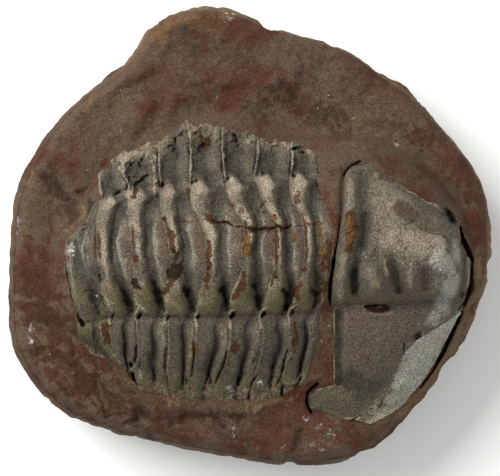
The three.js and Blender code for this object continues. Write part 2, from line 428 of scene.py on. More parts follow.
def rimRadius(angle):
    points = nodule["outline"]
    x, y = curvePoint(points[-3:] + points + points[:3], np.linspace(0.04, 0.96, 1200))
    return np.interp(angle, np.arctan2(y, x), np.hypot(x, y), period=2 * math.pi)


def stoneFace(x, y):
    # the split face without the animal
    share = np.hypot(x, y) / rimRadius(np.arctan2(y, x))
    return nodule["bed"] + nodule["swell"] * (1 - share * share)


def skin(x, y):
    return stoneFace(x, y) + bodyRise(x, y) + animal["lift"] * ramp(bodyRise(x, y), 0, 1.5)


# joints between plates from the tail forward: x at twelve stations from the low tip (0) over the
# low furrow (3), the axis (6) and the high furrow (9) to the high tip (11), and y at both tips
joints = [
    {"x": [-20.7, -22.4, -23.2, -23.4, -24.2, -24.8, -25.1, -24.7, -22.2, -20.8, -20.3, -20.2],
     "lowTip": -16.4, "highTip": 4.2},
    {"x": [-17.3, -18.4, -18.9, -19.0, -19.8, -20.1, -20.4, -20.6, -20.6, -20.1, -20.3, -20.4],
     "lowTip": -17.6, "highTip": 8.2},
    {"x": [-15.3, -15.7, -15.2, -15.3, -15.6, -15.7, -15.8, -16.1, -16.5, -16.3, -17.1, -17.5],
     "lowTip": -21.0, "highTip": 10.6},
    {"x": [-10.8, -11.2, -11.0, -11.2, -11.5, -10.9, -10.9, -11.3, -12.1, -12.1, -12.3, -12.5],
     "lowTip": -22.0, "highTip": 12.6},
    {"x": [-8.2, -7.9, -7.3, -7.2, -7.0, -6.2, -6.1, -6.5, -8.0, -8.2, -8.1, -8.8],
     "lowTip": -22.3, "highTip": 15.0},
    {"x": [-5.3, -4.3, -2.9, -2.8, -2.5, -1.4, -1.1, -1.0, -2.8, -3.5, -3.8, -3.9],
     "lowTip": -22.3, "highTip": 14.6},
    {"x": [-0.4, 0.6, 1.5, 1.5, 2.2, 2.9, 3.1, 2.9, 1.5, 0.5, 0.8, 0.9],
     "lowTip": -22.3, "highTip": 13.0},
    {"x": [4.2, 4.3, 5.8, 5.4, 6.1, 6.9, 7.1, 6.8, 5.3, 5.3, 5.5, 5.4],
     "lowTip": -21.8, "highTip": 12.2},
    {"x": [6.9, 8.0, 8.6, 9.0, 9.9, 10.3, 10.7, 10.5, 9.7, 9.0, 8.8, 8.4],
     "lowTip": -20.3, "highTip": 11.1},
]

segment = {
    "along": 44, "across": 250,
    "overlap": 0.4,  # the front edge slides this far under the next plate
    # station, then eleven features from the rear edge to the front edge: rear edge, lip, crest, end
    # of the crest, slope, bottom of the furrow, far slope, second ridge, shelf, end of the shelf,
    # front edge; each as share of the way forward, height in mm, tone from -1 (dark) to 1 (light).
    # The tone is partly the shell's own tan and dark grey, partly painted light on the crests and
    # painted shade in the furrows
    "sections": [
        (0, [(0, 0, 0.4), (0.06, 0.1, 0.6), (0.14, 0.15, 0.6), (0.25, 0.1, 0.4), (0.45, 0, 0),
             (0.55, -0.3, -0.4), (0.63, 0, 0), (0.75, 0.1, 0.4), (0.86, 0.05, 0.2), (0.95, -0.2, -0.3),
             (1, -0.2, -0.3)]),
        (0.5, [(0, 0.1, 0.5), (0.06, 0.2, 0.5), (0.14, 0.2, 0.4), (0.3, 0.05, 0), (0.47, -0.2, -0.3),
               (0.55, -0.7, -0.8), (0.63, -0.1, -0.1), (0.74, 0.15, 0.3), (0.86, 0.1, 0.1),
               (0.95, -0.3, -0.4), (1, -0.3, -0.4)]),
        (0.8, [(0, 0.2, 0.5), (0.05, 0.3, 0.4), (0.14, 0.2, 0.1), (0.35, 0.1, -0.1), (0.51, -0.3, -0.3),
               (0.585, -1.5, -1), (0.66, -0.3, -0.3), (0.76, 0.2, 0.1), (0.86, 0.15, 0), (0.94, -0.1, -0.2),
               (1, -0.3, -0.4)]),
        (1.3, [(0, 0.25, 0.6), (0.05, 0.35, 0.4), (0.14, 0.2, 0), (0.35, 0.05, -0.2), (0.47, -0.4, -0.6),
               (0.55, -1.3, -1), (0.63, -0.4, -0.5), (0.74, 0.25, 0.2), (0.86, 0.25, 0.2), (0.93, 0, -0.1),
               (1, -0.2, -0.2)]),
        (2, [(0, 0.25, 0.6), (0.05, 0.3, 0.3), (0.12, 0.2, 0), (0.3, 0.1, -0.2), (0.44, -0.1, -0.5),
             (0.53, -0.8, -1), (0.61, -0.35, -0.6), (0.7, 0.3, 0.4), (0.82, 0.35, 0.6), (0.92, 0.15, 0.2),
             (1, -0.1, -0.2)]),
        (2.7, [(0, 0.25, 0.6), (0.05, 0.25, 0.2), (0.12, 0.1, 0), (0.3, 0, -0.2), (0.42, -0.15, -0.4),
               (0.5, -0.5, -0.6), (0.58, -0.2, -0.3), (0.68, 0.25, 0.4), (0.82, 0.25, 0.5), (0.92, 0.05, 0),
               (1, -0.1, -0.1)]),
        (3, [(0, 0, 0.3), (0.06, -0.1, 0), (0.16, -0.1, 0.1), (0.36, -0.1, 0), (0.5, -0.15, -0.2),
             (0.58, -0.3, -0.4), (0.66, -0.25, -0.4), (0.76, -0.1, 0), (0.86, 0, 0.1), (0.94, 0, 0),
             (1, 0, 0)]),
        (3.4, [(0, 0.1, 0.4), (0.05, 0.4, 0.3), (0.15, 0.75, 0.2), (0.38, 0.65, 0.1), (0.6, -0.1, -0.2),
               (0.75, -1.1, -1), (0.84, -0.8, -1), (0.9, -0.4, -0.4), (0.94, -0.1, 0.1), (0.97, 0, 0.2),
               (1, 0, 0)]),
        (4, [(0, 0, 0.4), (0.04, 0.3, 0.3), (0.14, 0.75, 0.2), (0.36, 0.7, 0), (0.56, -0.1, -0.3),
             (0.7, -1.6, -1), (0.8, -1.0, -0.9), (0.87, -0.2, -0.2), (0.92, 0, 0), (0.96, 0, 0.1),
             (1, -0.1, 0)]),
        (5, [(0, 0, 0.3), (0.04, 0.15, 0.1), (0.12, 0.3, 0.2), (0.22, 0.32, 0.5), (0.36, -0.15, -0.3),
             (0.48, -0.8, -0.85), (0.59, -0.45, -0.6), (0.68, 0.15, 0.4), (0.78, 0.2, 0.1), (0.9, 0.05, 0),
             (1, -0.2, -0.2)]),
        (6, [(0, 0, 0.5), (0.05, 0.2, 0.1), (0.1, 0.32, 0.3), (0.2, 0.38, 0.9), (0.31, 0.05, -0.1),
             (0.42, -0.7, -0.75), (0.52, -0.45, -0.55), (0.6, 0.25, 0.75), (0.7, 0.25, 0.1), (0.88, 0.1, 0),
             (1, -0.2, -0.1)]),
        (7, [(0, 0, 0.4), (0.05, 0.25, 0.4), (0.11, 0.44, 0.7), (0.24, 0.5, 0.9), (0.34, 0.1, -0.1),
             (0.45, -0.65, -0.75), (0.54, -0.45, -0.6), (0.62, 0.2, 0.75), (0.72, 0.2, 0.2),
             (0.88, 0.05, 0), (1, -0.2, -0.1)]),
        (7.6, [(0, 0, 0.4), (0.05, 0.4, 0.7), (0.15, 0.7, 0.9), (0.28, 0.64, 0.8), (0.4, 0.05, -0.3),
               (0.52, -0.65, -0.9), (0.64, -0.5, -0.7), (0.73, -0.1, 0.1), (0.82, -0.05, 0.1),
               (0.92, -0.1, 0), (1, -0.2, -0.1)]),
        (8.2, [(0, 0, 0.5), (0.05, 0.55, 0.9), (0.2, 0.95, 1), (0.37, 0.8, 0.7), (0.52, 0.1, -0.3),
               (0.66, -0.6, -0.9), (0.8, -0.65, -0.9), (0.9, -0.45, -0.8), (0.94, -0.35, -0.6),
               (0.97, -0.3, -0.4), (1, -0.3, -0.3)]),
        (8.8, [(0, 0.1, 0.5), (0.06, 0.4, 0.6), (0.25, 1.0, 1), (0.45, 0.85, 0.8), (0.6, 0.2, -0.3),
               (0.74, -0.4, -0.9), (0.86, -0.45, -0.9), (0.92, -0.3, -0.6), (0.95, -0.2, -0.4),
               (0.98, -0.2, -0.2), (1, -0.2, 0)]),
        (9.05, [(0, 0.3, 0.7), (0.05, 0.3, 0.6), (0.1, 0.1, 0.2), (0.3, 0.05, -0.3), (0.42, -0.1, -0.6),
                (0.55, -0.25, -0.7), (0.68, -0.2, -0.4), (0.78, 0.05, 0.1), (0.88, 0.1, 0.1),
                (0.95, -0.1, -0.2), (1, 0, 0)]),
        (9.4, [(0, 0.4, 0.8), (0.04, 0.4, 0.8), (0.08, 0.1, 0), (0.14, -0.3, -0.7), (0.3, -0.45, -0.9),
               (0.45, -0.4, -0.8), (0.58, -0.15, -0.2), (0.7, 0.1, 0.4), (0.86, 0.1, 0.2),
               (0.94, -0.2, -0.5), (1, -0.1, -0.1)]),
        (10.3, [(0, 0.45, 0.9), (0.04, 0.45, 0.9), (0.08, 0.15, 0.2), (0.14, -0.3, -0.5), (0.3, -0.5, -0.8),
                (0.45, -0.5, -0.8), (0.58, -0.2, -0.2), (0.7, 0.15, 0.4), (0.84, 0.15, 0.3),
                (0.93, -0.2, -0.5), (1, -0.1, -0.1)]),
        (11, [(0, 0.3, 0.9), (0.04, 0.3, 0.9), (0.1, 0.2, 0.8), (0.18, 0.1, 0.8), (0.3, 0, 0.7),
              (0.45, -0.3, 0.2), (0.58, 0.1, 0.7), (0.7, 0.2, 0.9), (0.84, 0.2, 0.7), (0.93, 0, 0.4),
              (1, -0.1, 0.3)]),
    ],
}

tail = {
    "along": 60, "across": 220,
    "sections": [
        (0, [(0, 0, 0.3), (0.1, 0.1, 0.2), (0.2, 0.1, 0), (0.3, 0, 0), (0.4, -0.1, -0.2), (0.5, -0.3, -0.4),
             (0.6, -0.1, -0.2), (0.72, 0.1, 0.3), (0.82, 0.1, 0.4), (0.92, 0, 0.1), (1, -0.1, 0)]),
        (2, [(0, 0, 0.5), (0.06, 0.25, 0.2), (0.15, 0.2, 0), (0.3, 0.1, -0.1), (0.42, 0, -0.2),
             (0.52, -0.45, -0.6), (0.62, 0, -0.2), (0.72, 0.3, 0.3), (0.82, 0.3, 0.3), (0.92, 0.05, 0),
             (1, -0.1, 0)]),
        (3, [(0, -0.2, 0.2), (0.06, 0, 0.1), (0.15, 0.1, 0), (0.3, 0.1, -0.1), (0.42, 0, -0.1),
             (0.52, -0.2, -0.3), (0.62, 0, -0.1), (0.72, 0.1, 0.2), (0.82, 0.1, 0.2), (0.92, 0, 0),
             (1, 0, 0)]),
        (4, [(0, -0.3, 0.2), (0.08, 0, 0.3), (0.2, 0, 0.3), (0.35, -0.2, 0.1), (0.5, -0.2, 0.1),
             (0.62, -0.3, 0), (0.74, -0.8, -0.7), (0.82, -0.4, -0.4), (0.9, 0, 0.1), (0.95, 0, 0.2),
             (1, -0.1, 0.1)]),
        (4.6, [(0, -0.3, 0.2), (0.07, 0.2, 0.4), (0.17, 0.2, 0.4), (0.3, -0.1, 0), (0.45, -0.2, -0.2),
               (0.55, -0.3, -0.2), (0.66, -0.4, -0.4), (0.76, -0.2, -0.3), (0.86, 0, -0.1), (0.93, 0, 0),
               (1, -0.1, 0)]),
        (5, [(0, -0.3, 0.2), (0.06, 0.3, 0.5), (0.15, 0.35, 0.4), (0.28, 0.15, 0), (0.4, 0, -0.4),
             (0.5, 0.05, -0.3), (0.6, 0.1, -0.2), (0.72, 0.15, -0.2), (0.82, 0.1, -0.3),
             (0.92, -0.05, -0.4), (1, -0.15, -0.3)]),
        (6, [(0, -0.4, 0.4), (0.05, 0.4, 0.9), (0.14, 0.5, 0.7), (0.26, 0.3, 0.2), (0.36, -0.2, -0.4),
             (0.44, -0.35, -0.5), (0.5, -0.05, 0), (0.56, 0.25, 0.5), (0.64, 0, 0), (0.8, 0.25, 0.4),
             (1, -0.4, -0.4)]),
        (7, [(0, -0.4, 0.4), (0.05, 0.4, 0.9), (0.14, 0.5, 0.7), (0.26, 0.3, 0.2), (0.36, -0.2, -0.3),
             (0.44, -0.35, -0.5), (0.5, -0.05, 0), (0.56, 0.25, 0.6), (0.64, 0, 0), (0.8, 0.25, 0.5),
             (1, -0.4, -0.3)]),
        (8, [(0, -0.1, 0.4), (0.05, 0.1, 0.5), (0.14, 0.1, 0.3), (0.26, 0, 0.2), (0.36, 0, 0),
             (0.44, 0, 0), (0.5, 0, 0.1), (0.56, 0.1, 0.3), (0.64, 0, 0), (0.8, 0.2, 0.3),
             (1, -0.2, -0.1)]),
        (9, [(0, 0, 0.4), (0.05, 0.1, 0.6), (0.14, 0.1, 0.4), (0.26, 0, 0.2), (0.36, 0, 0),
             (0.44, 0, -0.1), (0.5, 0, 0.1), (0.56, 0.1, 0.2), (0.64, 0.1, 0.2), (0.8, 0.1, 0.3),
             (1, -0.1, 0)]),
        (11, [(0, 0, 0.3), (0.05, 0, 0.4), (0.14, 0, 0.4), (0.26, 0, 0.3), (0.36, 0, 0.2), (0.44, 0, 0.2),
              (0.5, 0, 0.2), (0.56, 0, 0.3), (0.64, 0, 0.3), (0.8, 0, 0.3), (1, 0, 0.2)]),
    ],
}

# what the tail and the segments share; heights, depths and distances are in mm
plates = {
    "edgeWaver": 0.12,
    "frayLeast": 0.1, "fray": 0.8,  # how far the high tips reach out unevenly
    "lowTipReach": 0.3,
    # how far a section's features wander, as a share of the way forward
    "wander": 0.045, "tremble": 0.02, "highTremble": 0.03,
    # how far the low and high furrow swing outward and back along a plate, in stations
    "lowSwing": (0.4, 0.24), "highSwing": (0.36, 0.18),
    "unevenRise": 0.25,  # share of a section's height
    "grain": 0.07, "tipGrain": 0.14, "fineGrain": 0.03, "crumbs": 0.5, "crumbsLift": 0.25,
    "lowTipSink": 0.45, "highTipSink": 0.5,
    "hairDepth": 0.25, "slotDepth": 0.5, "brownDepth": 0.12,
    # how much of the section's own tone shows, and how much the clouds change it
    "tone": 0.8, "cloudTone": 0.28,
}

# what time did to the plates: points, half width, amount
wear = {
    # holes and slits, by depth
    "cuts": [
        ([(-18.5, -10.9), (-18.3, -10.5)], 0.34, 1.1), ([(-14.9, -10.9), (-14.6, -10.4)], 0.38, 1.15),
        ([(-11.1, -11.1), (-10.9, -10.8)], 0.3, 1.05), ([(-7, -11), (-6.8, -10.6)], 0.28, 1.05),
        ([(-2.6, -10.8), (-2.3, -10.4)], 0.38, 1.3), ([(1.6, -10.8), (1.9, -10.3)], 0.36, 1.15),
        ([(5.5, -10.5), (5.7, -10)], 0.32, 1.1), ([(-11.8, 6.3), (-11.6, 6.8)], 0.3, 0.95),
        ([(-7.8, 6.9), (-7.2, 7.2)], 0.34, 1), ([(-3.3, 7.1), (-3, 7.5)], 0.34, 1),
        ([(1.4, 7.8), (1.7, 8.1)], 0.42, 1), ([(5.9, 7.8), (6.2, 8.1)], 0.5, 1.2),
        ([(9, 7), (9.3, 6.5)], 0.3, 0.5), ([(-10.1, 12.9), (-10.1, 12.2)], 0.28, 1.1),
        ([(-10.5, 11.3), (-10.1, 11.6)], 0.32, 0.9),
        ([(-2.3, 13.4), (-1.9, 13.1), (-1.9, 12.6)], 0.36, 1.1), ([(2.3, 12.3), (3, 12.6)], 0.35, 0.6),
        ([(5.7, 11.6), (6.5, 11.7), (7.2, 11.6)], 0.28, 1), ([(-6.3, 12.3), (-5.9, 11.4)], 0.3, 0.5),
        ([(-14.3, 10.6), (-14.6, 9.9)], 0.28, 0.7), ([(-15.5, 9.8), (-16.2, 9.3), (-16.2, 8.5)], 0.26, 0.5),
        ([(-15, 9.7), (-14.7, 9.1)], 0.3, 0.8),
        ([(-13.6, 8.1), (-14.5, 7.4), (-15.3, 6.9), (-15.5, 5.8)], 0.3, 0.8),
        ([(-16.2, 7.8), (-16.3, 7), (-16.6, 6.2)], 0.26, 0.8), ([(-13.9, 9), (-13.6, 8.4)], 0.4, 0.6),
        ([(-19.9, 4.7), (-19, 5), (-18.2, 5.4), (-17.5, 5.8)], 0.22, 0.6),
        ([(-22.4, 0.7), (-21.7, 1.1)], 0.2, 0.2),
        ([(-24.9, -2.8), (-24.5, -5.6), (-24, -8.2), (-23.5, -10), (-22.8, -11.3)], 0.22, 0.8),
        ([(-22.7, -11.4), (-22.4, -12)], 0.34, 1.2),
        ([(-22.2, -7.3), (-21.2, -7.4), (-20.5, -7.9)], 0.2, 0.4),
        ([(-21.3, -8.2), (-20.6, -9.4), (-20.3, -10.5)], 0.4, 0.5),
        ([(-21.1, -13), (-20.7, -15.6)], 0.32, 0.4), ([(-20.1, -5.4), (-19.7, -6.3)], 0.25, 0.6),
        ([(-19.9, -8), (-19.3, -9.4), (-18.8, -10.4)], 0.16, 0.4),
        ([(-15.3, -14.7), (-15.3, -16), (-15.5, -16.9)], 0.24, 0.8),
        ([(-16.1, -17.2), (-15.9, -17.5)], 0.34, 1.3),
        ([(-15.8, -18.6), (-15.6, -19.6), (-15.4, -20.7)], 0.3, 1.4),
        ([(-14.8, -16.9), (-14.9, -17.6)], 0.16, 0.5),
        ([(-11.2, -15), (-11.5, -16.2), (-11.4, -18.3)], 0.26, 0.7),
        ([(-7.7, -14.2), (-7.5, -15.4), (-7.6, -16.8), (-7.9, -18.8)], 0.2, 0.7),
        ([(-3.1, -15.6), (-3.6, -17.2), (-4.6, -19.7)], 0.24, 0.9), ([(0.9, -15.8), (0.4, -17)], 0.22, 0.5),
        ([(0.85, -18.7), (0.1, -20), (-0.35, -22)], 0.22, 1.1),
        ([(4.95, -15.3), (4.5, -16.6), (4.2, -18.5), (3.6, -19.8)], 0.26, 0.9),
        ([(4.4, -20), (4.15, -21), (4.4, -21.9)], 0.22, 1.1),
        ([(6.7, -18.3), (6.7, -19.3), (6.3, -20.1)], 0.2, 1),
    ],
    # deep shaded ends of the furrows
    "slots": [
        ([(-17, -7.4), (-16.4, -8.8), (-15.9, -10)], 0.6, 0.9),
        ([(-12.9, -6.4), (-12.2, -8.2), (-11.6, -10)], 0.62, 0.9),
        ([(-9, -6.6), (-8.2, -8.4), (-7.5, -10)], 0.6, 1),
        ([(-3.7, -7), (-3.3, -8.6), (-3.1, -9.9)], 0.62, 1),
        ([(0.6, -6.6), (1, -8.2), (1.1, -9.9)], 0.62, 1), ([(4.3, -7), (4.8, -8.4), (4.7, -9.9)], 0.55, 1),
        ([(8.2, -6.8), (8.8, -8.6), (8.3, -9.7)], 0.5, 0.9), ([(-12.2, -18.8), (-12.1, -19.6)], 0.4, 0.9),
        ([(-8.7, -18.6), (-8.6, -19.8)], 0.36, 0.9), ([(-5.4, -18.6), (-5.4, -19.8)], 0.4, 0.9),
        ([(-1.6, -19), (-1.6, -20.2)], 0.36, 0.9), ([(2.8, -19.6), (2.6, -20.8)], 0.36, 0.9),
        ([(6.7, -18.8), (6.5, -20)], 0.34, 0.9),
    ],
    # broken lumps, by height
    "lumps": [
        ([(-15.9, 10.2), (-15.2, 8.6), (-14.9, 7.4)], 0.35, 0.4),
        ([(-17.3, 10.4), (-16.6, 8), (-15.9, 6.4)], 0.4, 0.4),
        ([(-12.7, 10.5), (-12.8, 8), (-12.7, 5.5)], 0.4, 0.4), ([(-16.4, 10.7), (-15, 11.1)], 1, 0.5),
        ([(-17.2, 8.8), (-16.9, 7.5)], 0.6, 0.5), ([(-13.1, 9.9), (-12.8, 10.8)], 0.6, 0.4),
        ([(-15.3, 8.9), (-15.6, 8)], 0.5, 0.5), ([(-19.4, 7.6)], 1.2, 0.4),
        ([(-10.6, 13.6), (-9.4, 14.2)], 0.7, 0.4), ([(-8.5, 14.4), (-7.2, 15.2)], 0.8, 0.4),
        ([(-4.6, 14.6), (-4, 13.4)], 0.7, 0.4), ([(-1.2, 13.2), (0, 12.7)], 0.5, 0.3),
        ([(3.4, 12.5)], 0.6, 0.3), ([(5.8, 12), (7, 12)], 0.35, 0.4), ([(-6.6, 14.3)], 0.8, -0.4),
    ],
    # a hair crack over five segments, faint at both ends
    "hair": [
        ([(-5, 1.9), (-4.2, 1.65), (-3.1, 1.8), (-2.5, 1.35), (-1.9, 1.15), (-1.1, 1.2), (-0.4, 1),
          (0.3, 0.8), (0.8, 0.78)], 0.15, 1),
        ([(1.3, 0.8), (2, 0.95), (3, 0.9), (3.7, 1.3), (4.1, 0.95), (4.8, 1), (5.3, 1.3), (5.8, 1.65)],
          0.15, 1),
        ([(6.1, 1.2), (6.7, 1.35)], 0.13, 0.8),
        ([(-9.2, 1.9), (-8, 1.75), (-7.2, 2), (-6, 2.1), (-5, 1.9)], 0.12, 0.5),
        ([(7.4, 1.5), (8, 1.3), (9, 1.7)], 0.1, 0.5),
    ],
    "rust": [
        ([(-5.5, -1), (-5.4, -2.4), (-5.6, -4), (-5.8, -6.6)], 0.42, 1),
        ([(-10.2, -5.3), (-10.7, -6.6), (-11.2, -7.6)], 0.5, 1),
        ([(-10.7, 0.5), (-10.4, -1), (-10.2, -2.2)], 0.5, 0.7), ([(-11.6, 2.2), (-10.9, 1)], 0.3, 0.8),
        ([(-15.7, -0.6), (-15.2, -2.2), (-15.2, -3.2)], 0.4, 0.9),
        ([(-0.8, -5), (-1.1, -6.6), (-2.2, -8.2)], 0.42, 1),
        ([(3.4, 0.5), (3.5, -2), (3.4, -4.2), (2.9, -6.4)], 0.36, 0.8),
        ([(7.1, -4.6), (6.6, -6.6), (6.1, -8.4)], 0.45, 0.9),
        ([(9.6, -2.5), (9.6, -5), (9.8, -9)], 0.6, 0.8),
        ([(5.8, -11.8), (6.1, -13.5), (5.8, -15.6)], 0.45, 0.85), ([(-2.3, -15)], 0.75, 0.8),
        ([(2, -15.2)], 0.6, 0.6), ([(5.5, -16.4)], 0.7, 0.7), ([(-19.4, -12.2), (-19.4, -14.6)], 0.55, 0.9),
        ([(-8.2, 6.2), (-8.2, 4.6)], 0.22, 0.9), ([(-5.8, 2.6), (-5.1, 1.9)], 0.6, 0.8),
        ([(4.6, 8.2), (5.1, 7.2)], 0.3, 0.6), ([(-7, 13.9), (-6.1, 12.6)], 0.7, 0.7),
        ([(10.4, -1), (10.5, -5)], 0.4, 0.6), ([(6.2, 4.6), (6.4, 5.6)], 0.5, 0.5),
        ([(-15.6, 5.2), (-15.2, 5.8)], 0.4, 0.8), ([(-1, 0.8), (1.4, 0.6), (4.4, 0.8)], 0.4, 0.4),
        ([(-2.6, 4.1), (-1.6, 3.2)], 0.5, 0.5),
    ],
    "ochre": [
        ([(-0.5, -0.3), (-0.5, -2.6)], 0.4, 0.9), ([(5.8, 0.6), (5.7, -0.8)], 0.34, 0.8),
        ([(3.2, 2.6), (3.1, 2)], 0.35, 0.8), ([(9.3, 1.5), (9.4, 0), (9.5, -2.2)], 0.35, 0.75),
        ([(-19.2, -6.4), (-19.1, -7.6)], 0.55, 0.4), ([(-5.3, -1.4), (-5.3, -2.6)], 0.22, 0.8),
        ([(-14.1, -7.6), (-14, -9.2)], 0.5, 0.35), ([(-7.2, -14.6), (-7.4, -16)], 0.4, 0.5),
        ([(-3, -16.2), (-2.9, -18)], 0.45, 0.5), ([(7.2, 1.8), (7.8, 1.4)], 0.3, 0.6),
    ],
    "brown": [
        ([(-9.9, -2.8), (-10, -4.8)], 0.98, 1), ([(-15.4, -6.3), (-15, -7.1), (-15.3, -7.7)], 0.45, 1),
        ([(1.1, 3.3), (1.6, 4.2)], 0.85, 0.9), ([(2, 3.1)], 0.5, 0.8), ([(-5.7, -4.4)], 0.3, 0.7),
        ([(3.4, -5.6)], 0.4, 0.7), ([(-22.2, 1.6)], 0.6, 0.8),
    ],
    "pale": [
        ([(-23, 0), (-22.9, -3), (-22.7, -5.5)], 0.3, 0.45),
        ([(-21.9, 0.4), (-21.8, -2.4), (-21.5, -5)], 0.25, 0.5),
        ([(-18.3, 0), (-18.1, -3), (-17.9, -5)], 0.3, 0.3),
        ([(-24.3, -3), (-23.6, -7.4), (-22.4, -11)], 0.22, 0.35),
        ([(-21.2, -12.4), (-21.6, -14.6)], 0.5, 0.3),
    ],
    # painted glints on the plates
    "white": [
        ([(-24, -1.5), (-23.7, -2.3)], 0.4, 1), ([(-19.1, -8.5), (-18.4, -9.6)], 0.32, 1),
        ([(-15.3, -8.8), (-14.9, -9.1)], 0.4, 1), ([(-14.3, -9.8), (-14, -10.1)], 0.25, 0.9),
        ([(-2.8, -20.4), (-2.3, -21), (-2.8, -22)], 0.5, 1), ([(1.3, -19.8), (1.9, -19.2)], 0.55, 1),
        ([(-19.6, -15.2), (-19.2, -14.9)], 0.3, 1), ([(-9.6, -3.4), (-9.5, -3.7)], 0.14, 1),
        ([(-9.45, 7.7)], 0.2, 1), ([(-20.5, -8.1)], 0.3, 0.7), ([(0.5, -16.2)], 0.22, 0.8),
        ([(-2.7, 7.1), (-2.5, 7.6)], 0.24, 1),
    ],
    # bright crumbs, and painted highlights along lit edges and on the curl beside each pit
    "tan": [
        ([(-3, 7), (-2.6, 7.6)], 0.3, 0.85), ([(-18.7, -9.9), (-19, -10.7), (-18.9, -11.8)], 0.17, 0.9),
        ([(-14.9, -9.6), (-15.4, -10.5), (-15.2, -11.8)], 0.17, 0.9),
        ([(-11.2, -10.2), (-11.5, -10.8), (-11.3, -12)], 0.17, 0.9),
        ([(-7.1, -9.9), (-7.4, -10.7), (-7.2, -12.2)], 0.18, 1),
        ([(-1.9, -9.7), (-2.8, -10.2), (-2.9, -11), (-2.7, -12.4)], 0.18, 1),
        ([(2.3, -9.5), (1.4, -10.1), (1.2, -10.9), (1.4, -12.3)], 0.18, 1),
        ([(6.2, -9.2), (5.2, -9.8), (5, -10.6), (5.3, -11.8)], 0.18, 1),
        ([(-15.9, 10.2), (-15.2, 8.6), (-14.9, 7.4)], 0.35, 0.8),
        ([(-17.3, 10.4), (-16.6, 8), (-15.9, 6.4)], 0.35, 0.8),
        ([(-12.7, 10.5), (-12.8, 8), (-12.7, 5.5)], 0.35, 0.8), ([(-16.6, 10.6), (-14.6, 11.2)], 0.9, 0.8),
        ([(-17.2, 9), (-16.8, 7)], 0.6, 0.8), ([(-16.4, 6.2), (-16.5, 3)], 0.3, 0.9),
        ([(-13.2, 10), (-12.7, 8)], 0.4, 0.6), ([(-18.9, -15.2), (-17.4, -17.3)], 0.2, 0.8),
        ([(-15.2, -17.2), (-15.9, -18)], 0.25, 0.8), ([(-14.9, -18.2), (-14.8, -19)], 0.3, 0.6),
        ([(3.2, -20.2), (2, -21.6), (1, -22.2)], 0.2, 0.6), ([(-20, -12), (-20.1, -15)], 0.2, 0.6),
    ],
}


def jointLine(joint, shift=0.0):
    # the joint's twelve points, low tip to high tip
    low, high = lobes(joint["x"][3])[1], lobes(joint["x"][9])[2]
    y = np.interp(range(12), [0, 3, 9, 11], [joint["lowTip"], low, high, joint["highTip"]])
    return [(x + shift, float(level)) for x, level in zip(joint["x"], y)]


def plateSpots(rear, front, forward, across, seed):
    # where a unit slab's vertices lie in the plane; the edges waver a little
    sway = plates["edgeWaver"] * grain(9 * across, 0 * across, forward * 0, 0.4, seed, 3)
    (rearX, rearY), (frontX, frontY) = curvePoint(rear, across), curvePoint(front, across)
    x = rearX + (frontX - rearX) * forward + sway * np.abs(1 - 2 * forward)
    return x, rearY + (frontY - rearY) * forward


def plateLevels(sections, forward, station):
    # height, tone and which feature of the section each place lies on
    stations = [row[0] for row in sections]
    table = np.array([row[1] for row in sections], float)
    at, level, tone = ([through(station, np.column_stack([stations, table[:, k, column]]))
                        for k in range(table.shape[1])] for column in range(3))
    slopes = [(b - a) / (q - p) for a, b, p, q in zip(level[:-1], level[1:], at[:-1], at[1:])]
    lean = [slopes[0]] + [np.where(a * b > 0, 2 * a * b / (np.abs(a) + np.abs(b) + 1e-9) * np.sign(a), 0)
                          for a, b in zip(slopes[:-1], slopes[1:])] + [slopes[-1]]
    height, shade, feature = level[0].copy(), tone[0].copy(), 0 * forward
    for k in range(len(slopes)):
        gap = at[k + 1] - at[k]
        t = np.clip((forward - at[k]) / gap, 0, 1)
        curve = eased(t, gap, level[k], level[k + 1], lean[k], lean[k + 1])
        here = forward >= at[k]
        height = np.where(here, curve, height)
        shade = np.where(here, tone[k] + (tone[k + 1] - tone[k]) * t, shade)
        feature = np.where(here, k + t, feature)
    return height, shade, feature


def shellMarks(x, y):
    # stains, cuts and grains that run over several plates
    hair = strokes(x, y, wear["hair"])
    marks = {mark: strokes(x, y, wear[mark], 0.2, 0.7)
             for mark in ("rust", "ochre", "brown", "white", "tan", "pale")}
    stain = strokes(x, y, [(points, 0.4, 0.75 * amount) for points, half, amount in wear["hair"]], 0)
    marks["rust"] = np.maximum(marks["rust"], stain)
    marks["brown"] = np.maximum(marks["brown"], hair)
    # painted shade in the cuts, darker the deeper they are, and in the shaded furrow ends
    marks["pitch"] = np.maximum(strokes(x, y, [(points, 0.85 * half, min(max(depth - 0.35, 0.1), 1))
                                               for points, half, depth in wear["cuts"]], 0),
                                0.85 * strokes(x, y, wear["slots"], 0))
    return marks


def wornDepth(x, y):
    depth = (strokes(x, y, wear["cuts"], 0) + plates["hairDepth"] * strokes(x, y, wear["hair"])
             + plates["slotDepth"] * strokes(x, y, wear["slots"], 0))
    return (depth - strokes(x, y, wear["lumps"], 0, 0.6)
            + plates["brownDepth"] * strokes(x, y, wear["brown"], 0.7))


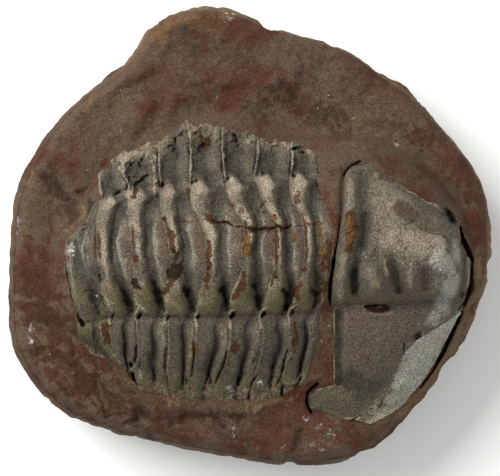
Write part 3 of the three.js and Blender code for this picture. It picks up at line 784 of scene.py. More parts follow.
def makePlate(name, node, shape, rear, front, seed):
    sheet = {}
    rear, front = jointLine(rear), jointLine(front, segment["overlap"])

    def place(u, v, w):
        forward, across = u + 0.5, v + 0.5
        x, y = plateSpots(rear, front, forward, across, seed)
        station = 11 * across
        fray = plates["frayLeast"] + plates["fray"] * np.abs(grain(x, 0 * x, 0 * x, 1.2, 17, 3))
        y = y + ramp(station, 10, 11) * fray - plates["lowTipReach"] * (1 - ramp(station, 0, 1))
        drift = (plates["wander"] * flatGrain(x, y, 2.6, 15, 2)
                 + plates["tremble"] * flatGrain(x, y, 0.9, 19, 3)) * np.sin(math.pi * forward)
        drift += plates["highTremble"] * ramp(station, 8.9, 9.3) * flatGrain(x, y, 0.8, 25, 3)
        (lowSwing, lowBack), (highSwing, highBack) = plates["lowSwing"], plates["highSwing"]
        low = lowSwing * np.sin(math.pi * np.clip(forward, 0, 1)) - lowBack
        high = highSwing * np.sin(math.pi * np.clip(forward / 0.55, 0, 1)) - highBack
        level = station + low * bump(station, 3.1, 1.2) - high * bump(station, 9, 0.8)
        rise, tone, feature = plateLevels(shape["sections"], forward + drift, level)
        rise = rise * (1 + plates["unevenRise"] * flatGrain(x, y, 4.5, 16, 2))
        ends = np.maximum(ramp(station, 9.5, 10.6), 1 - ramp(station, 0.4, 1.6))
        rough = (flatGrain(x, y, 0.9, 11, 4) * (plates["grain"] + plates["tipGrain"] * ends)
                 + plates["fineGrain"] * flatGrain(x, y, 0.35, 12, 2))
        crumbs = plates["crumbs"] * flatGrain(x, y, 0.6, 20, 3) + plates["crumbsLift"]
        rough = rough + ramp(station + 0.35 * bump(x, -7, 6), 10, 10.7) * crumbs
        sink = (plates["lowTipSink"] * (1 - ramp(station, 0, 0.5))
                + plates["highTipSink"] * ramp(station, 10.75, 11))
        sheet.update(tone=tone, feature=feature, station=station)
        top = skin(x, y) + rise * (1 - 0.5 * ends * ramp(rough, -0.1, 0.1)) + rough - sink - wornDepth(x, y)
        return x, y, np.where(w > 0.5, top, skin(x, y) - animal["depth"])

    def marks(x, y, z):
        station, tone, feature = sheet["station"], sheet["tone"], sheet["feature"]
        overAxis = ramp(station, 4.6, 5.8) * (1 - ramp(station, 6.9, 7.7))
        tone = plates["tone"] * tone + plates["cloudTone"] * flatGrain(x, y, 1.6, 23, 4)
        # darker: the high pleurae forward of their rear lip, light spots just inside the high
        # furrow, and all outside both furrows
        tone -= 0.3 * ramp(station, 8.95, 9.2) * (1 - ramp(station, 10, 10.5)) * ramp(feature, 1.4, 2.2)
        tone -= 0.22 * bump(station, 8.3, 1.2) * ramp(tone, 0.2, 0.6)
        tone -= 0.25 * (1 - ramp(station, 2.9, 3.2)) + 0.1 * ramp(station, 9, 9.2)
        # glossy: a pale painted sheen on the second ridge over the axis
        glossy = ramp(feature, 6, 6.8) * (1 - ramp(feature, 7.1, 7.8)) * overAxis
        cloud = 0.5 + 0.5 * flatGrain(x, y, 1.8, 21, 4)
        lowTip, highTip = 1 - ramp(station, 0.1, 1.3), ramp(station, 10.2, 11)
        found = shellMarks(x, y)
        olive = ramp(station, 3, 3.2) * (1 - ramp(station, 3.9, 5)) * (1 - 0.7 * ramp(feature, 3.4, 4.6))
        if shape is tail:
            # darker, less so at its rear edge, over its upper half and at its low tip; olive low down
            tone = (tone - 0.5 + 0.35 * bump(x, -24.2, 0.7) + 0.25 * ramp(y, -3, 1)
                    + 0.35 * ramp(-y, 10.8, 11.3))
            olive = np.maximum(olive, 0.8 * ramp(-y, 4, 7))
        # tan and the dark mark carry the tone: partly the shell's own tan and dark grey, partly painted
        # light on the crests and painted shade in the furrows
        found.update({
            "tan": np.maximum(tone * (1 - 0.6 * glossy), found["tan"]),
            "dusk": -1.05 * tone,
            "plum": 0.85 * ramp(feature, 7.1, 8.2) * overAxis,
            "olive": olive + 0.8 * lowTip + 0.25 * (1 - ramp(station, 0.8, 2.2)),
            "stone": np.maximum(lowTip * ramp(cloud, 0.35, 0.75) * ramp(-station, -0.9, -0.2),
                                highTip * ramp(cloud, 0.45, 0.7) * 0.7),
            "pale": np.maximum(0.45 * glossy, found["pale"]),
        })
        lip = bump(feature, 1.4, 1.5) * overAxis * ramp(cloud, 0.3, 0.55)
        found["rust"] = np.maximum(found["rust"], 0.75 * lip)
        return found

    slab = unitSlab(shape["along"], shape["across"])
    return makePiece(name, slab, place, shell, marks, [node])


head = {
    "grid": (190, 260), "tuck": 0.35,
    "grain": 0.09, "roll": 0.12,  # heights of the fine and the broad unevenness
    "rear": [
        (10.7, -24.4), (8.2, -23.4), (7.8, -21.6), (8.9, -20.4), (10.9, -19.9), (11.1, -16), (11, -12),
        (10.8, -9.4), (10.9, -6), (11.5, -2.2), (12.1, 2), (12.4, 5.6), (12.6, 7.6), (13.2, 8.9),
        (14.6, 9.6), (15.6, 9.7),
    ],
    "front": [
        (13.4, -24.8), (15.9, -23.3), (18.2, -21.3), (19.8, -18.4), (20.7, -15.9), (22.3, -14.1),
        (24.4, -12.8), (28.1, -10.2), (29.1, -7), (29.5, -4.8), (29.4, -3.2), (28.3, -2.2), (28.2, -0.4),
        (28, 1), (27.6, 2.4), (26.6, 3.7), (23.7, 4.7), (19.9, 7), (16.9, 8.5), (16.2, 9.5),
    ],
    # broad forms: points, half width, height
    "forms": [
        ([(13.6, 8.2), (13.5, 5), (13.4, 1), (12.7, -2.5), (12.1, -5.5), (12, -8.3)], 1.4, 0.7),
        ([(15.2, 6.6), (15.3, 5.2)], 1.5, -0.55), ([(15.6, 4), (15.4, 0.5), (15, -1.6)], 1.3, -0.6),
        ([(15.3, 2.5), (15.1, -0.5), (14.4, -3.2), (13.9, -5), (13.9, -7.4)], 0.9, -0.7),
        ([(13.95, -4.6), (13.95, -7.2)], 0.7, -0.5), ([(16.3, -5.6), (16.9, -7.2)], 2.3, 1.9),
        ([(18.9, -3.2), (19.2, -4.6), (19.7, -7.2)], 1.1, -0.8), ([(19.2, -5), (19.7, -7.4)], 0.5, -0.5),
        ([(17.5, -2.4), (17.9, -3.9), (18.3, -6)], 0.5, 0.35), ([(22.1, -3.4), (22, -5.4)], 0.4, 0.3),
        ([(18.2, -3.4), (18.4, -5)], 0.6, 0.2), ([(21.4, -3.8), (21.4, -7.2)], 1.1, 0.55),
        ([(23.2, -4.8), (23.3, -6.9)], 0.95, -0.8), ([(25.6, -3), (25.6, -6.6)], 1.8, 0.3),
        ([(28.3, -2.6), (28.3, -7.8)], 0.8, -0.2),
        ([(28.2, 0), (29.4, -3.2), (29.5, -4.8), (29.2, -7), (28.6, -9.6)], 0.7, 0.5),
        ([(27.7, -2.2), (27.6, -8)], 0.3, 0.12), ([(11, -9.3), (13.6, -9.5), (15.4, -9.5)], 1, -0.15),
        ([(18.2, -9.6), (21, -9.2), (24.7, -8.7)], 1.9, -0.15),
        ([(15.9, -9.9), (17.2, -10.1), (18.3, -9.8)], 0.75, -0.7),
        ([(15.3, -9.9), (16.8, -10.6), (18.8, -10.1)], 0.5, 0.3),
        ([(11.9, -10.4), (11.8, -15), (11.9, -19.6)], 0.9, -0.8),
        ([(11.2, -10.2), (11.2, -15), (11.2, -19.4)], 0.3, 0.25),
        ([(12.4, -19.6), (14, -20.4), (16.6, -20.8)], 2.4, -0.3), ([(9, -21.6), (10.6, -22.2)], 1.6, 0.3),
        ([(26.8, 3.2), (27.2, 2.2)], 1.1, -1.4), ([(25.9, 3.3)], 0.8, -0.4), ([(20.7, 3.2)], 1.7, -0.3),
        ([(24.2, 2.2)], 2, -0.2), ([(22.4, -13.6)], 0.8, -0.5), ([(14.5, -12.5), (17.5, -16)], 4, 0.35),
        ([(22.4, -15.2), (20.9, -17.2), (19.6, -19.8)], 1.2, -0.3),
        ([(17, 7.2), (20.5, 6), (23.7, 4.4)], 0.6, -0.3),
    ],
    # holes and slits, by depth
    "cuts": [
        ([(15.3, -9.5), (16.4, -9.35), (17.9, -9.25)], 0.15, 0.9),
        ([(17.7, 4.4), (18.2, 3.2), (18.8, 2), (20, 1.2), (21.6, 1.8)], 0.12, 0.24),
        ([(21.6, 1.8), (23.4, 0.4), (25.6, 0), (26.6, -0.7)], 0.12, 0.28),
        ([(20.6, -14.4), (20.5, -16)], 0.12, 0.3), ([(16.6, -1.8), (16.6, -2.1)], 0.22, 0.5),
        ([(20.6, -1.7), (20.6, -1.9)], 0.2, 0.5), ([(29.2, -7.8), (28.6, -9), (27.9, -9.9)], 0.16, 0.7),
        ([(13.9, -4.6), (13.9, -7.6)], 0.5, 0.35),
        ([(27.6, -10.5), (26.3, -11.4), (24.4, -12.6)], 0.14, 0.2), ([(26.5, 3.1), (27, 2.2)], 0.6, 0.6),
        ([(19.7, -6.8), (19.9, -7.5)], 0.3, 0.2), ([(12.8, -20.2), (13.4, -20.6)], 0.5, 0.25),
        ([(26.6, 1.2), (27, 0.8)], 0.2, 0.4),
    ],
    # tan: the ring's and glabella's own cream, and painted highlights along lit ridges and edges
    "tan": [
        ([(13.2, 7.6), (13.2, 5), (13.2, 2.8)], 1.1, 0.4), ([(12.4, -3), (12, -5.6), (11.9, -8.4)], 1, 0.4),
        ([(18.4, 5), (19, -1.5), (24, -1.5)], 4.5, 0.55), ([(19, 0.4), (22, -0.8), (25, -1.2)], 2.6, 0.75),
        ([(15.8, -5), (16.6, -6.4)], 1.6, 0.35), ([(21.3, -3.8), (21.3, -6.8)], 0.7, 0.5),
        ([(20.2, -3.6), (19.1, -2.9), (17.8, -3.2), (17.8, -4), (18.2, -5.2)], 0.35, 0.7),
        ([(23.4, -3.5), (22.4, -3.8), (22.2, -5.2)], 0.3, 0.6),
        ([(9.4, -24.3), (12, -24.9), (14, -24.5), (16, -23), (18, -21.3)], 0.3, 0.6),
        ([(26.8, -2.6), (26.6, -6)], 1.2, 0.4), ([(15.2, -9.9), (16.6, -10.6), (18.8, -10.2)], 0.35, 0.5),
        ([(11.2, -10.5), (11.2, -19)], 0.22, 0.6), ([(9, -20.7), (11, -20), (11.3, -18)], 0.4, 0.4),
        ([(29.2, -3), (29.3, -5), (29.1, -7)], 0.25, 0.8),
        ([(17.6, 7.4), (20.4, 6.3), (23.9, 4.4)], 0.3, 0.6),
        ([(18.9, 4.3), (20.2, 4.9), (21.6, 4.4)], 0.25, 0.4),
        ([(17.4, 4.2), (18, 3), (18.6, 1.8), (20, 0.9)], 0.2, 0.5),
        ([(27.3, -10.9), (25.8, -11.9), (24.4, -12.9)], 0.25, 0.5),
    ],
    # dark marks: mostly painted shade in the head's furrows and hollows and on faces turned from the light,
    # and some darker patches of shell
    "dusk": [
        ([(15, 6.9), (15.2, 5.4)], 1.5, 0.5), ([(15.7, 4), (15.5, 1)], 1.3, 0.4),
        ([(15.3, 2), (15.1, -0.4), (14.5, -2.6)], 1.1, 0.5),
        ([(14.1, -3.6), (13.9, -5.2), (13.9, -7.8)], 1, 1),
        ([(18.9, -3.4), (19.3, -5), (19.8, -7.6)], 1.1, 0.65), ([(23.2, -4.8), (23.3, -7)], 0.8, 0.55),
        ([(15, -13), (16, -18)], 3.6, 0.25), ([(19, -9.1), (24.4, -8.6)], 1.4, 0.35),
        ([(11.9, -10.4), (11.9, -19)], 0.8, 0.8), ([(13.2, -19.2), (15, -20.8), (17, -20.4)], 2.6, 0.9),
        ([(26.2, 3.3), (27.2, 2.2)], 1.2, 0.9), ([(28.6, -2.6), (28.4, -8)], 0.9, 0.75),
        ([(17.4, 7.9), (20.2, 6.9), (24.2, 4.8)], 0.4, 0.6), ([(25.4, 3.6), (26.2, 2.9)], 0.4, 0.5),
        ([(16.4, -3), (17.6, -4)], 1.2, 0.3), ([(25, -8), (27, -8.6)], 1.2, 0.3),
    ],
    "plum": [
        ([(14.2, -11.6), (15, -17)], 3.4, 0.8), ([(18, -12), (19, -16)], 2.6, 0.6),
        ([(17.4, -6.6), (18, -8)], 1.2, 0.5), ([(16.6, 6), (17.2, 1)], 1.6, 0.5),
        ([(19.8, 2.4), (25, 2.8)], 1.6, 0.5),
    ],
    "olive": [
        ([(12.2, -7.5), (16, -8.6), (20, -8.8)], 1.3, 0.5), ([(9, -22), (14, -24)], 2.8, 0.3),
        ([(22.6, -6.8), (24, -8), (27, -8)], 1.3, 0.6), ([(12, -20), (17, -21.6)], 3, 0.5),
        ([(19.4, -5.5), (19.6, -7.4)], 0.9, 0.6), ([(12.6, -2.4), (12.1, -5)], 1, 0.5),
    ],
    "pale": [
        ([(24.6, -11.6), (26.3, -8.8), (27, -6)], 1.7, 0.8),
        ([(25, -3), (26.6, -4.8), (26.2, -6.8)], 2.4, 0.9), ([(27.4, -1), (27.4, -3)], 1.1, 0.7),
        ([(22.8, -13.8), (20.9, -16.4), (19.6, -19)], 1.2, 0.55), ([(14.6, -1.8), (14.4, -2.6)], 0.5, 0.5),
    ],
    "rust": [
        ([(13.4, 2.6), (13.5, 0.8), (13, -1.8)], 1.1, 0.85),
        ([(16.1, -9.8), (17.2, -10), (18.2, -9.7)], 0.5, 0.9), ([(22.2, -13.9), (22.6, -13.3)], 0.85, 0.8),
        ([(23.4, 0.9)], 0.5, 0.5), ([(15.8, -16.4)], 1.6, 0.3),
    ],
    "ochre": [([(13.2, 1.9), (13.5, 0.6), (13.2, -0.8)], 0.8, 0.8), ([(23.4, 0.9)], 0.4, 0.7)],
    "brown": [
        ([(20, 3.5), (21.3, 2.8)], 1.15, 0.4), ([(23.2, 1.9)], 0.8, 0.22),
        ([(15.7, -9.8), (16.8, -10), (18.1, -9.8)], 0.3, 0.45), ([(22.4, -13.6)], 0.5, 0.6),
        ([(13.7, 1.1)], 0.35, 0.5),
    ],
    # painted glints on the head, and a white speck
    "white": [
        ([(24.4, -3.9), (25.2, -4.6)], 0.7, 0.6), ([(26.8, -3.8)], 0.4, 0.5), ([(22.7, -12)], 0.35, 0.9),
        ([(14.5, -1.9), (15.3, -2.6)], 0.4, 0.4),
    ],
    "stone": [
        ([(16.6, 8.9), (19.8, 7.3), (23.7, 4.7), (26.4, 2.9)], 0.3, 0.7),
        ([(20, 3.5), (21.4, 2.8)], 1.4, 0.55), ([(23.6, 2.4), (24.6, 2)], 1.2, 0.35),
    ],
}


def press(x, y, entries):
    # rounded rises and hollows added up: points, half width, height
    total = 0 * x
    for points, half, height in entries:
        line = smoothLine(points, 16) if len(points) > 2 else points
        total += height * nearness(x, y, line, 0.1 * half, half)
    return total


def headPlate(name, node, edges, grid, seed, finishes, marks, tuck):
    # tuck is how deep the plate's rear edge is pressed in
    rear, front = edges

    def place(u, v, w):
        x, y = plateSpots(rear, front, u + 0.5, v + 0.5, seed)
        rise = head["grain"] * flatGrain(x, y, 1.0, 13, 4) + head["roll"] * flatGrain(x, y, 3.2, 14, 2)
        rise += press(x, y, head["forms"])
        rise -= strokes(x, y, head["cuts"], 0.1) + tuck * nearness(x, y, rear, 0, 0.5)
        top = skin(x, y) + rise
        return x, y, np.where(w > 0.5, top, skin(x, y) - animal["depth"])

    return makePiece(name, unitSlab(*grid), place, finishes, marks, [node])


def headMarks(x, y, z):
    sway = 0.2 * flatGrain(x, y, 1.6, 24, 4)
    found = {mark: strokes(x + sway, y - sway, head[mark], 0, 0.25)
             for mark in ("tan", "dusk", "plum", "olive", "pale", "rust", "ochre", "white", "stone")}
    found["brown"] = strokes(x, y, head["brown"], 0.85, 0.3)
    # painted shade in the head's cuts
    found["pitch"] = 0.9 * ramp(strokes(x, y, head["cuts"], 0), 0.2, 0.9)
    found["tan"] = found["tan"] * (1 - 0.8 * found["dusk"])
    return found


cheek = {
    "grid": (40, 130), "tuck": 0.6,
    "rear": [
        (13.7, -24.7), (17.4, -21.4), (19.2, -18.3), (20.1, -15.6), (21.8, -13.7), (24.1, -12.4),
        (27.9, -10),
    ],
    "front": [
        (16.2, -25.4), (19.8, -23.4), (21.8, -21.2), (23.5, -19), (24.9, -16.9), (26, -14.8), (27.1, -12.6),
        (28.4, -10.3),
    ],
    "stone": [
        ([(18.6, -20.8), (17, -22.8), (14.6, -24.8)], 1.1, 1), ([(17.4, -25.4), (19.6, -23.6)], 0.5, 0.5),
    ],
    "rust": [([(18.3, -21.2), (17.2, -23)], 0.4, 0.5)],
    "olive": [([(18.4, -24.4), (20.6, -21.4)], 1.6, 0.5)],
    "tan": [
        ([(20.6, -18), (22.6, -15.2), (25, -13.6)], 0.6, 0.3), ([(17.6, -24.6), (20.4, -22.6)], 0.8, 0.5),
    ],
    # painted shade along the cheek's front edge
    "dusk": [([(26.7, -12.6), (25.4, -15.6), (23, -19.2)], 0.35, 0.5)],
    # white specks and painted glints
    "white": [
        ([(24.2, -15.2)], 0.3, 0.9), ([(21.2, -20)], 0.25, 0.9), ([(22.8, -18.8), (22.5, -19.2)], 0.2, 0.8),
    ],
}


def cheekMarks(x, y, z):
    found = {mark: strokes(x, y, cheek[mark], 0, 0.5)
             for mark in ("tan", "dusk", "olive", "rust", "white", "stone")}
    found.update({mark: 0 * x for mark in ("pale", "plum", "ochre", "brown", "pitch")})
    return found


def thoraxOutline():
    lines = [jointLine(joint) for joint in joints]
    return (lines[0] + [line[-1] for line in lines[1:-1]] + lines[-1][::-1]
            + [line[0] for line in lines[-2:0:-1]])


stoneShape = {
    "darkFrom": 1.6,  # the depth from which a gap is painted fully dark as shade
    # gaps round the plates: the line, half its width, its depth
    "gaps": [
        ([(14.6, 9.8), (13.9, 9.5), (13.1, 8.8), (12.6, 8)], 0.2, 0.8),
        ([(12.6, 8), (12.3, 7), (12.2, 5), (12.1, 2), (12, 0.5)], 0.36, 0.45),
        ([(12.1, 1.2), (11.9, -0.5), (11.4, -2.5), (10.8, -5), (10.6, -7.6), (10.8, -8.9)], 0.3, 2),
        ([(27.9, 0.9), (28.4, -0.6), (29.2, -2.2), (29.6, -3.4)], 0.34, 3),
        ([(29.6, -3.4), (29.7, -4.8), (29.6, -6.4), (29.1, -8.3), (28.5, -9.6)], 0.22, 2),
        ([(28.4, -10.4), (27.2, -12.9), (26.2, -15.2), (25.2, -17)], 0.24, 2.4),
        ([(25.2, -17), (24.5, -18.2), (22.9, -20.4)], 0.18, 1.2),
        ([(9, -19.8), (8.1, -20.6), (7.6, -21.6), (7.7, -22.8), (8.2, -23.8)], 0.18, 1.6),
    ],
    # rises and hollows: centre, half width, stretch along y, height
    "lumps": [
        ((-8, 29.4), 5.5, 0.55, 1.5), ((-7, 24.6), 6.5, 0.45, -0.9), ((-15, 22), 5, 0.8, 0.5),
        ((-17, 13.5), 4, 0.8, 0.4), ((6, 17.5), 6.5, 0.5, -0.8), ((-26, 6.2), 3.4, 1.3, -0.7),
        ((20, 14), 8, 0.8, 0.6), ((-28.5, -2), 4, 1.6, 0.5), ((-24, -18), 6, 0.7, 0.6),
        ((-27.5, -12.4), 3.5, 0.7, -0.4), ((3, -26), 4, 0.5, -0.7), ((11, -26.5), 4, 0.9, 0.5),
        ((-12, -24.5), 4, 0.6, 0.5), ((16, 20), 5, 0.6, -0.4), ((-5, -27.3), 3, 0.5, 0.4),
    ],
    # ridges and steps: the line, half its width, its height
    "ridges": [
        ([(30.6, -1), (31, -5), (29.9, -9.5), (27.9, -13.8), (25.2, -18.4), (22.2, -22.4)], 1.3, 1.5),
        ([(-16, 15.2), (-11, 18.4), (-5, 20.6), (0.5, 21.7), (5, 21.4)], 2.6, 0.8),
        ([(-20.5, 17.5), (-17, 21), (-12, 23.4)], 1.8, 0.5),
        ([(-18.6, -19.6), (-16.5, -22.6), (-15.6, -25.6)], 1.2, 0.8),
        ([(-31, -14.8), (-26.5, -14.6), (-24, -16.8)], 1.2, 0.5),
        ([(-8.6, -25), (-7.5, -23.2), (-5.5, -22.2)], 0.9, -0.6),
        ([(-15.7, -21.2), (-13.8, -23.4), (-15, -24.8), (-17, -25.7)], 0.8, -0.6),
        ([(-21, -18.6), (-20.2, -21.6), (-19.4, -24.2)], 0.7, -0.5),
        ([(-13, -24.4), (-8, -25), (-1, -24.8)], 1.2, -0.6), ([(-11.8, -21.4), (-11.3, -22.8)], 0.45, 0.4),
        ([(-10.4, -21.6), (-10.2, -23.4)], 0.45, 0.45), ([(-8.4, -21.6), (-7.8, -23)], 0.45, 0.4),
        ([(-5.6, -21.8), (-5.4, -23)], 0.4, 0.4), ([(-0.6, -22), (-0.2, -24)], 0.45, 0.45),
        ([(4.8, -21.6), (2.6, -22.8), (0.8, -23.8)], 0.5, 0.5),
        ([(8.2, -18.6), (6.8, -20.8), (4.2, -22.8)], 0.4, 0.4),
        ([(-3.6, -26), (-1.5, -28), (1.6, -28.6), (3, -31)], 1.4, -0.7),
        ([(6.3, -26), (6.6, -28.6), (6.9, -31)], 0.8, -0.7),
        ([(8.4, 12.2), (10, 13.4), (13, 12.6), (16, 11.4)], 1.6, 0.5),
        ([(-25.6, 2), (-24, 4.6), (-21.6, 6)], 1, -0.4),
        ([(-24.6, 0.9), (-23.6, 2.4), (-22.4, 3.6)], 0.9, 0.9),
    ],
    # painted glints on the stone's grains
    "white": [
        ([(9.7, -25.8), (10.3, -26.6)], 0.8, 0.9), ([(9.1, -27.7), (9.8, -28.5)], 0.8, 0.9),
        ([(-30.1, -12.6), (-29.3, -13.6)], 0.9, 0.9), ([(-2.8, -27.7), (-2.2, -26)], 0.5, 0.8),
        ([(-2.6, 30.5), (-2.6, 29)], 0.6, 0.9), ([(-8, 8.7)], 0.4, 0.7), ([(14, 15.9)], 0.35, 0.7),
        ([(7.4, -24.5)], 0.5, 0.7), ([(29.8, -2)], 0.4, 0.7), ([(-26.8, 5.2)], 0.5, 0.7),
        ([(-12.2, 13.6)], 0.3, 0.8), ([(22.6, -22.9), (23.4, -22)], 0.4, 0.6),
        ([(-31.4, 2.4), (-31.2, 0)], 0.3, 0.6), ([(4.4, -28.8)], 0.5, 0.6), ([(19.6, 12.2)], 0.3, 0.6),
        ([(-24, -18.4)], 0.25, 0.6),
    ],
    "tan": [
        ([(-15.7, -19.6), (-15.2, -21)], 0.35, 0.9), ([(-11.8, -21), (-11.3, -22.8)], 0.4, 0.9),
        ([(-10.4, -21.2), (-10.2, -23.4)], 0.4, 0.9), ([(-8.4, -21.2), (-7.8, -23)], 0.4, 0.8),
        ([(-5.6, -21.4), (-5.4, -23)], 0.4, 0.8), ([(-0.6, -21.8), (-0.2, -24)], 0.4, 0.9),
        ([(4.8, -21.4), (2.6, -22.8), (0.8, -23.8)], 0.5, 0.9),
        ([(8.2, -18.4), (6.8, -20.6), (4.2, -22.8)], 0.35, 0.7), ([(-20.6, -19), (-19.8, -22.4)], 0.5, 0.5),
        ([(-17.5, -18.6), (-14, -20.6), (-8, -22), (0, -22.6), (4, -22.3)], 1.5, 0.48),
        ([(-24.6, 0.8), (-23.6, 2.2), (-22.4, 3.6)], 0.7, 1),
        ([(-21, 4), (-19.8, 6), (-18.4, 8.4), (-17.2, 11)], 0.8, 0.2),
        ([(-26.4, -2), (-26.6, -6)], 1.5, 0.3), ([(16.6, -25.2), (19.8, -23.4), (22, -21.2)], 1, 0.6),
        ([(11, 10.6), (13, 10)], 1.2, 0.3), ([(9.8, 6), (10.4, 9)], 0.5, 0.3),
    ],
    "red": [
        ([(10.2, -9.6), (10, -14), (9.9, -18.6)], 1.6, 1), ([(10.9, 5), (11.2, 0), (10.6, -4)], 0.9, 1),
        ([(11.6, 10), (11, 6)], 1, 0.5), ([(-30, -4), (-27, -12), (-22, -20)], 6, 1),
        ([(-20, -22), (-8, -26), (4, -27)], 4, 0.5), ([(-13.6, 16.7), (-6, 20.4), (0, 21.7)], 2.4, 0.5),
        ([(18.8, -22), (16.5, -24), (13, -25.4)], 1, 1), ([(12, -28), (18, -26)], 2.6, 0.4),
        ([(-28, 8), (-22, 15)], 3.4, 0.4), ([(-22, -19), (-19, -23)], 1.6, 0.8),
        ([(8, -25), (16, -28)], 2.4, 0.8), ([(-22.4, 5), (-20.6, 7), (-19, 9.6)], 1.3, 0.8),
        ([(23, 13.6), (27.6, 11.4), (30, 6)], 2.6, 0.75),
    ],
    # dark marks: painted shade in the stone's hollows, below its ridges and beside the plates, and some
    # darker patches of stone
    "dusk": [
        ([(-22.9, 1.9), (-21.8, 2.7), (-20.6, 4)], 0.5, 1),
        ([(-15.7, -21.2), (-13.8, -23.4), (-15, -24.8), (-17, -25.7)], 0.45, 0.8),
        ([(-21, -18.6), (-20.2, -21.6), (-19.4, -24.2)], 0.4, 0.8),
        ([(-13, -24), (-8, -24.6), (-1, -24.4)], 1.1, 0.75),
        ([(-13.5, 19.5), (-10, 20.6), (-6, 20.4)], 3, 0.4),
        ([(-22, -21), (-16, -25), (-8, -27.4)], 1.6, 0.45), ([(-29, -8), (-25, -16), (-19, -23)], 5, 0.55),
        ([(-12, 24.4), (-4, 24.8), (0, 24)], 2.6, 0.45), ([(0, 18.4), (6, 18), (12, 15.6)], 3, 0.6),
        ([(7, 24), (12, 21.6), (17, 18.6)], 2.8, 0.4), ([(-28, 8.6), (-25, 5), (-24, 3)], 1.8, 0.7),
        ([(14, 18), (22, 13)], 2.6, 0.4), ([(26.4, 8), (28, 4)], 2, 0.35),
        ([(-28, -16), (-22, -22)], 2.4, 0.4), ([(14.6, 11.4), (18, 9.6)], 1.4, 0.4),
        ([(-8.4, -24.6), (-6, -22.4)], 0.7, 0.6), ([(-3, -26), (0, -28.4)], 0.8, 0.5),
        ([(6.6, -27), (6.8, -30)], 0.6, 0.6), ([(-2, 15), (4, 14.4)], 1.2, 0.4),
    ],
    # a tan band of painted light along the right rim's raised edge
    "rimLight": [([(30.4, -2), (30.4, -6), (29, -11), (26.6, -16), (23.4, -20.8), (20.4, -24)], 1.5, 0.7)],
    "ochre": [
        ([(-13.2, 27.2), (-8, 28.9), (-4, 29.2)], 2.4, 0.5), ([(-16, 24.4), (-14, 26.2)], 1, 0.4),
        ([(30.6, -4), (30, -8.6)], 0.8, 0.4), ([(-18.6, 20.6), (-22, 17.4)], 0.9, 0.5),
        ([(-29.5, 11), (-31.2, 6.4)], 0.6, 0.5), ([(24.6, -18.8), (20.6, -24)], 0.9, 0.4),
    ],
}


def gapLines():
    return [(smoothLine(line, 24), half, depth) for line, half, depth in stoneShape["gaps"]]


def placeStone(u, v, w):
    # above: the grid's square is rounded into a disc; below: each ring of the side
    ring = np.rint(-w).astype(int)
    reach = np.where(ring > 0, 1, np.hypot(u, v))
    angle = np.arctan2(v, u)
    side = nodule["side"]
    share = np.where(ring > 0, np.array([1] + [row[0] for row in side])[ring], reach * side[0][0])
    level = np.array([1] + [row[1] for row in side])[ring] * nodule["bed"]
    rim = rimRadius(angle)
    rimX, rimY = rim * np.cos(angle), rim * np.sin(angle)
    scallop = (nodule["scallop"] * flatGrain(rimX, rimY, 1.8, 31, 4)
               - nodule["chips"] * ramp(flatGrain(rimX, rimY, 2.6, 38, 3), 0.3, 1))
    radius = share * (rim + scallop * ramp(share, 0.8, 1))
    x, y = radius * np.cos(angle), radius * np.sin(angle)
    top = (stoneFace(x, y) + nodule["roll"] * flatGrain(x, y, 9, 32, 2)
           + nodule["rough"] * flatGrain(x, y, 1.6, 33, 4))
    top += nodule["facets"] * np.abs(flatGrain(x, y, 4.5, 36, 3))
    sway = 0.9 * flatGrain(x, y, 4, 37, 3)
    for centre, half, stretch, height in stoneShape["lumps"]:
        top += height * (1 - ramp(np.hypot(x + sway - centre[0], (y - sway - centre[1]) / stretch), 0, half))
    top += press(x + sway, y - sway, stoneShape["ridges"])
    inside = np.maximum(insideDistance(x, y, thorax), insideDistance(x, y, headOutline))
    calm = 1 - nodule["calm"] * ramp(inside, -2.5, 0)
    top = stoneFace(x, y) + (top - stoneFace(x, y)) * calm
    top += bodyRise(x, y) + animal["lift"] * ramp(bodyRise(x, y), 0, 1.5) - 0.15 * ramp(inside, -1, 0)
    # the stone drops away under the plates, with a ragged edge along the thorax
    ragged = np.where(x < nodule["raggedUpTo"], nodule["ragged"] * np.abs(flatGrain(x, y, 1.1, 43, 3)), 0)
    top -= nodule["pocket"] * ramp(inside - ragged, 0.1, 0.6)
    for line, half, depth in gapLines():
        top -= depth * nearness(x, y, line, half * 0.5, half * 1.2)
    top -= nodule["roundOver"] * ramp(share + 0.012 * flatGrain(x, y, 2, 34, 3), 0.94, 0.99)
    below = level * (stoneFace(x, y) - nodule["roundOver"] - nodule["rimDrop"]) / nodule["bed"]
    z = np.where(ring > 0, below, top)
    bulge = np.where((ring > 1) & (level > 0), nodule["bulge"] * grain(x, y, z, 5, 35, 4), 0)
    x, y = x + bulge * np.cos(angle) - 0.2 * (bulge != 0), y + bulge * np.sin(angle)
    return x, y, z


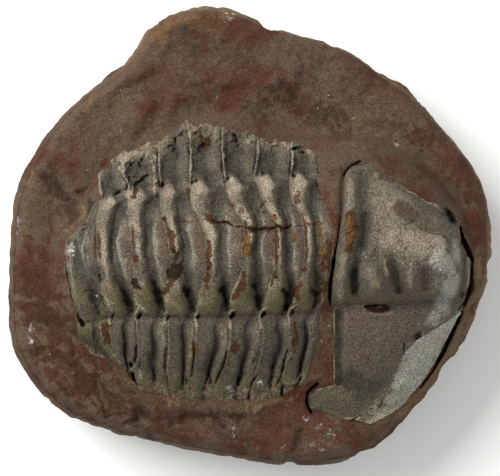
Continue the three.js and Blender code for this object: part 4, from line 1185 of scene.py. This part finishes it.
def stoneMarks(x, y, z):
    share = np.hypot(x, y) / rimRadius(np.arctan2(y, x))
    # 1 on the split face, 0 down the side, where marks placed from above would smear
    face = ramp(z, 12.4, 14)
    sway = 0.8 * flatGrain(x, y, 2.6, 42, 4)
    found = {mark: strokes(x + sway, y - sway, stoneShape[mark], 0, 0.6) * face
             for mark in ("red", "dusk", "ochre", "tan")}
    found["white"] = strokes(x, y, stoneShape["white"], 0, 0.9) * face
    # painted shade in the gaps round the plates, darker the deeper the gap
    gap = sum(min(depth / stoneShape["darkFrom"], 1) * nearness(x, y, line, half * 0.6, half * 1.3)
              for line, half, depth in gapLines())
    found["dusk"] = np.maximum(found["dusk"], gap * face)
    # low on the side are other patches; round the rim a tan band of painted light catches the
    # rounded edge at the top and on the right, patchy low on the side, with painted shade round the
    # rim's other side
    low = (1 - ramp(z, 11, 14)) * ramp(z, 1.5, 5)
    patchy = np.clip(0.45 + 1.2 * grain(x, y, z, 7, 44, 3), 0, 1)
    edge, sunny = ramp(share, 0.965, 0.99) * (z > 2), ramp(x + y, -8, 8)
    found["rim"] = np.maximum(edge * np.maximum(sunny, 0.6 * low) * (1 - low * patchy),
                              strokes(x, y, stoneShape["rimLight"], 0, 0.4) * face)
    found["dusk"] = np.maximum(found["dusk"], 0.7 * edge * (1 - sunny) * (1 - low))
    found["red"] = np.maximum(found["red"], low * ramp(grain(x, y, z, 9, 45, 4), 0, 0.3))
    found["dusk"] = np.maximum(found["dusk"], 0.7 * low * ramp(grain(x, y, z, 4, 46, 4), 0.1, 0.4))
    return found


def makeStone():
    bm = bmesh.new()
    bmesh.ops.create_grid(bm, x_segments=nodule["grid"], y_segments=nodule["grid"], size=1)
    for vert in bm.verts:  # the square becomes a disc
        u, v = vert.co.x, vert.co.y
        vert.co.x, vert.co.y = u * math.sqrt(1 - v * v / 2), v * math.sqrt(1 - u * u / 2)
    border = [edge for edge in bm.edges if edge.is_boundary]
    for ring in range(len(nodule["side"])):
        grown = bmesh.ops.extrude_edge_only(bm, edges=border)["geom"]
        lowered = [item for item in grown if isinstance(item, bmesh.types.BMVert)]
        bmesh.ops.translate(bm, verts=lowered, vec=(0, 0, -1))
        border = [item for item in grown if isinstance(item, bmesh.types.BMEdge)]
    last = [vert for vert in bm.verts if vert.co.z < 0.5 - len(nodule["side"])]
    bmesh.ops.pointmerge(bm, verts=last, merge_co=(0.001, 0, -len(nodule["side"])))
    bmesh.ops.recalc_face_normals(bm, faces=bm.faces[:])
    return makePiece("nodule", bm, placeStone, stone, stoneMarks, ["nodule"])


stone, shell = paintStone(), paintShell("shellStone", shellPaint["base"])
cheekShell = paintShell("cheekStone", shellPaint["cheek"])
print("materials made")
thorax = thoraxOutline()
headOutline = (smoothLine(head["rear"], 50) + smoothLine(head["front"], 50)[:26:-1]
               + smoothLine(cheek["front"], 24)[::-1])
makeStone()
makePlate("pygidium", "pygidium", tail, joints[0], joints[1], 2)
for i in range(1, len(joints) - 1):
    number = len(joints) - 1 - i
    makePlate(f"thoracicSegment{number}", f"thoracic_segment_{number}", segment, joints[i], joints[i + 1],
              3 + number)
headPlate("cranidium", "cranidium", (head["rear"], head["front"]), head["grid"], 40, shell,
          headMarks, head["tuck"])
headPlate("freeCheek", "free_cheek", (cheek["rear"], cheek["front"]), cheek["grid"], 41, cheekShell,
          cheekMarks, cheek["tuck"])


studio = {
    "floor": colour(248, 248, 246),
    "lens": 500, "sensor": 36,
    "frameWidth": 67.5,  # of the picture, where the stone is widest
    "centre": (-0.07, -0.34, 14),
    "floorSize": 1.5, "floorGap": 0.03,  # the floor lies a little under the stone's flat base
    # metres from the middle of the base, size in metres, power in watts
    "lights": [("key", (-0.32, 0.26, 0.42), 0.42, 5.2), ("fill", (0.5, -0.4, 0.6), 0.7, 1.6)],
    "worldStrength": 0.55,
    "farthest": 10,
}

bm = bmesh.new()
bmesh.ops.create_grid(bm, x_segments=1, y_segments=1, size=studio["floorSize"])
floorMesh = bpy.data.meshes.new("floor")
bm.to_mesh(floorMesh)
bm.free()
floor = bpy.data.objects.new("floor", floorMesh)
bpy.context.collection.objects.link(floor)
floor.location.z = stoneLow.z - studio["floorGap"] * mm
floorPaint = Paint("floor")
floorPaint.finish(studio["floor"], 0.9, 0.2)
floorMesh.materials.append(floorPaint.material)


def addLight(name, spotAt, size, power):
    data = bpy.data.lights.new(name, "AREA")
    data.size, data.energy = size, power
    light = bpy.data.objects.new(name, data)
    light.location = spotAt
    aim = Vector(origin) - light.location
    light.rotation_euler = aim.to_track_quat("-Z", "Y").to_euler()
    bpy.context.collection.objects.link(light)


for light in studio["lights"]:
    addLight(*light)
world = bpy.data.worlds.new("studio")
world.use_nodes = True
background = world.node_tree.nodes["Background"]
background.inputs["Color"].default_value = (1, 1, 1, 1)
background.inputs["Strength"].default_value = studio["worldStrength"]
bpy.context.scene.world = world
bpy.context.scene.view_settings.view_transform = "Standard"

cameraData = bpy.data.cameras.new("camera")
cameraData.lens, cameraData.sensor_width = studio["lens"], studio["sensor"]
cameraData.clip_end = studio["farthest"]
camera = bpy.data.objects.new("camera", cameraData)
distance = studio["frameWidth"] * mm * studio["lens"] / studio["sensor"]
x, y, z = (origin[i] + studio["centre"][i] * mm for i in range(3))
camera.location = (x, y, z + distance)
bpy.context.collection.objects.link(camera)
bpy.context.scene.camera = camera
print("lights, floor and camera placed")
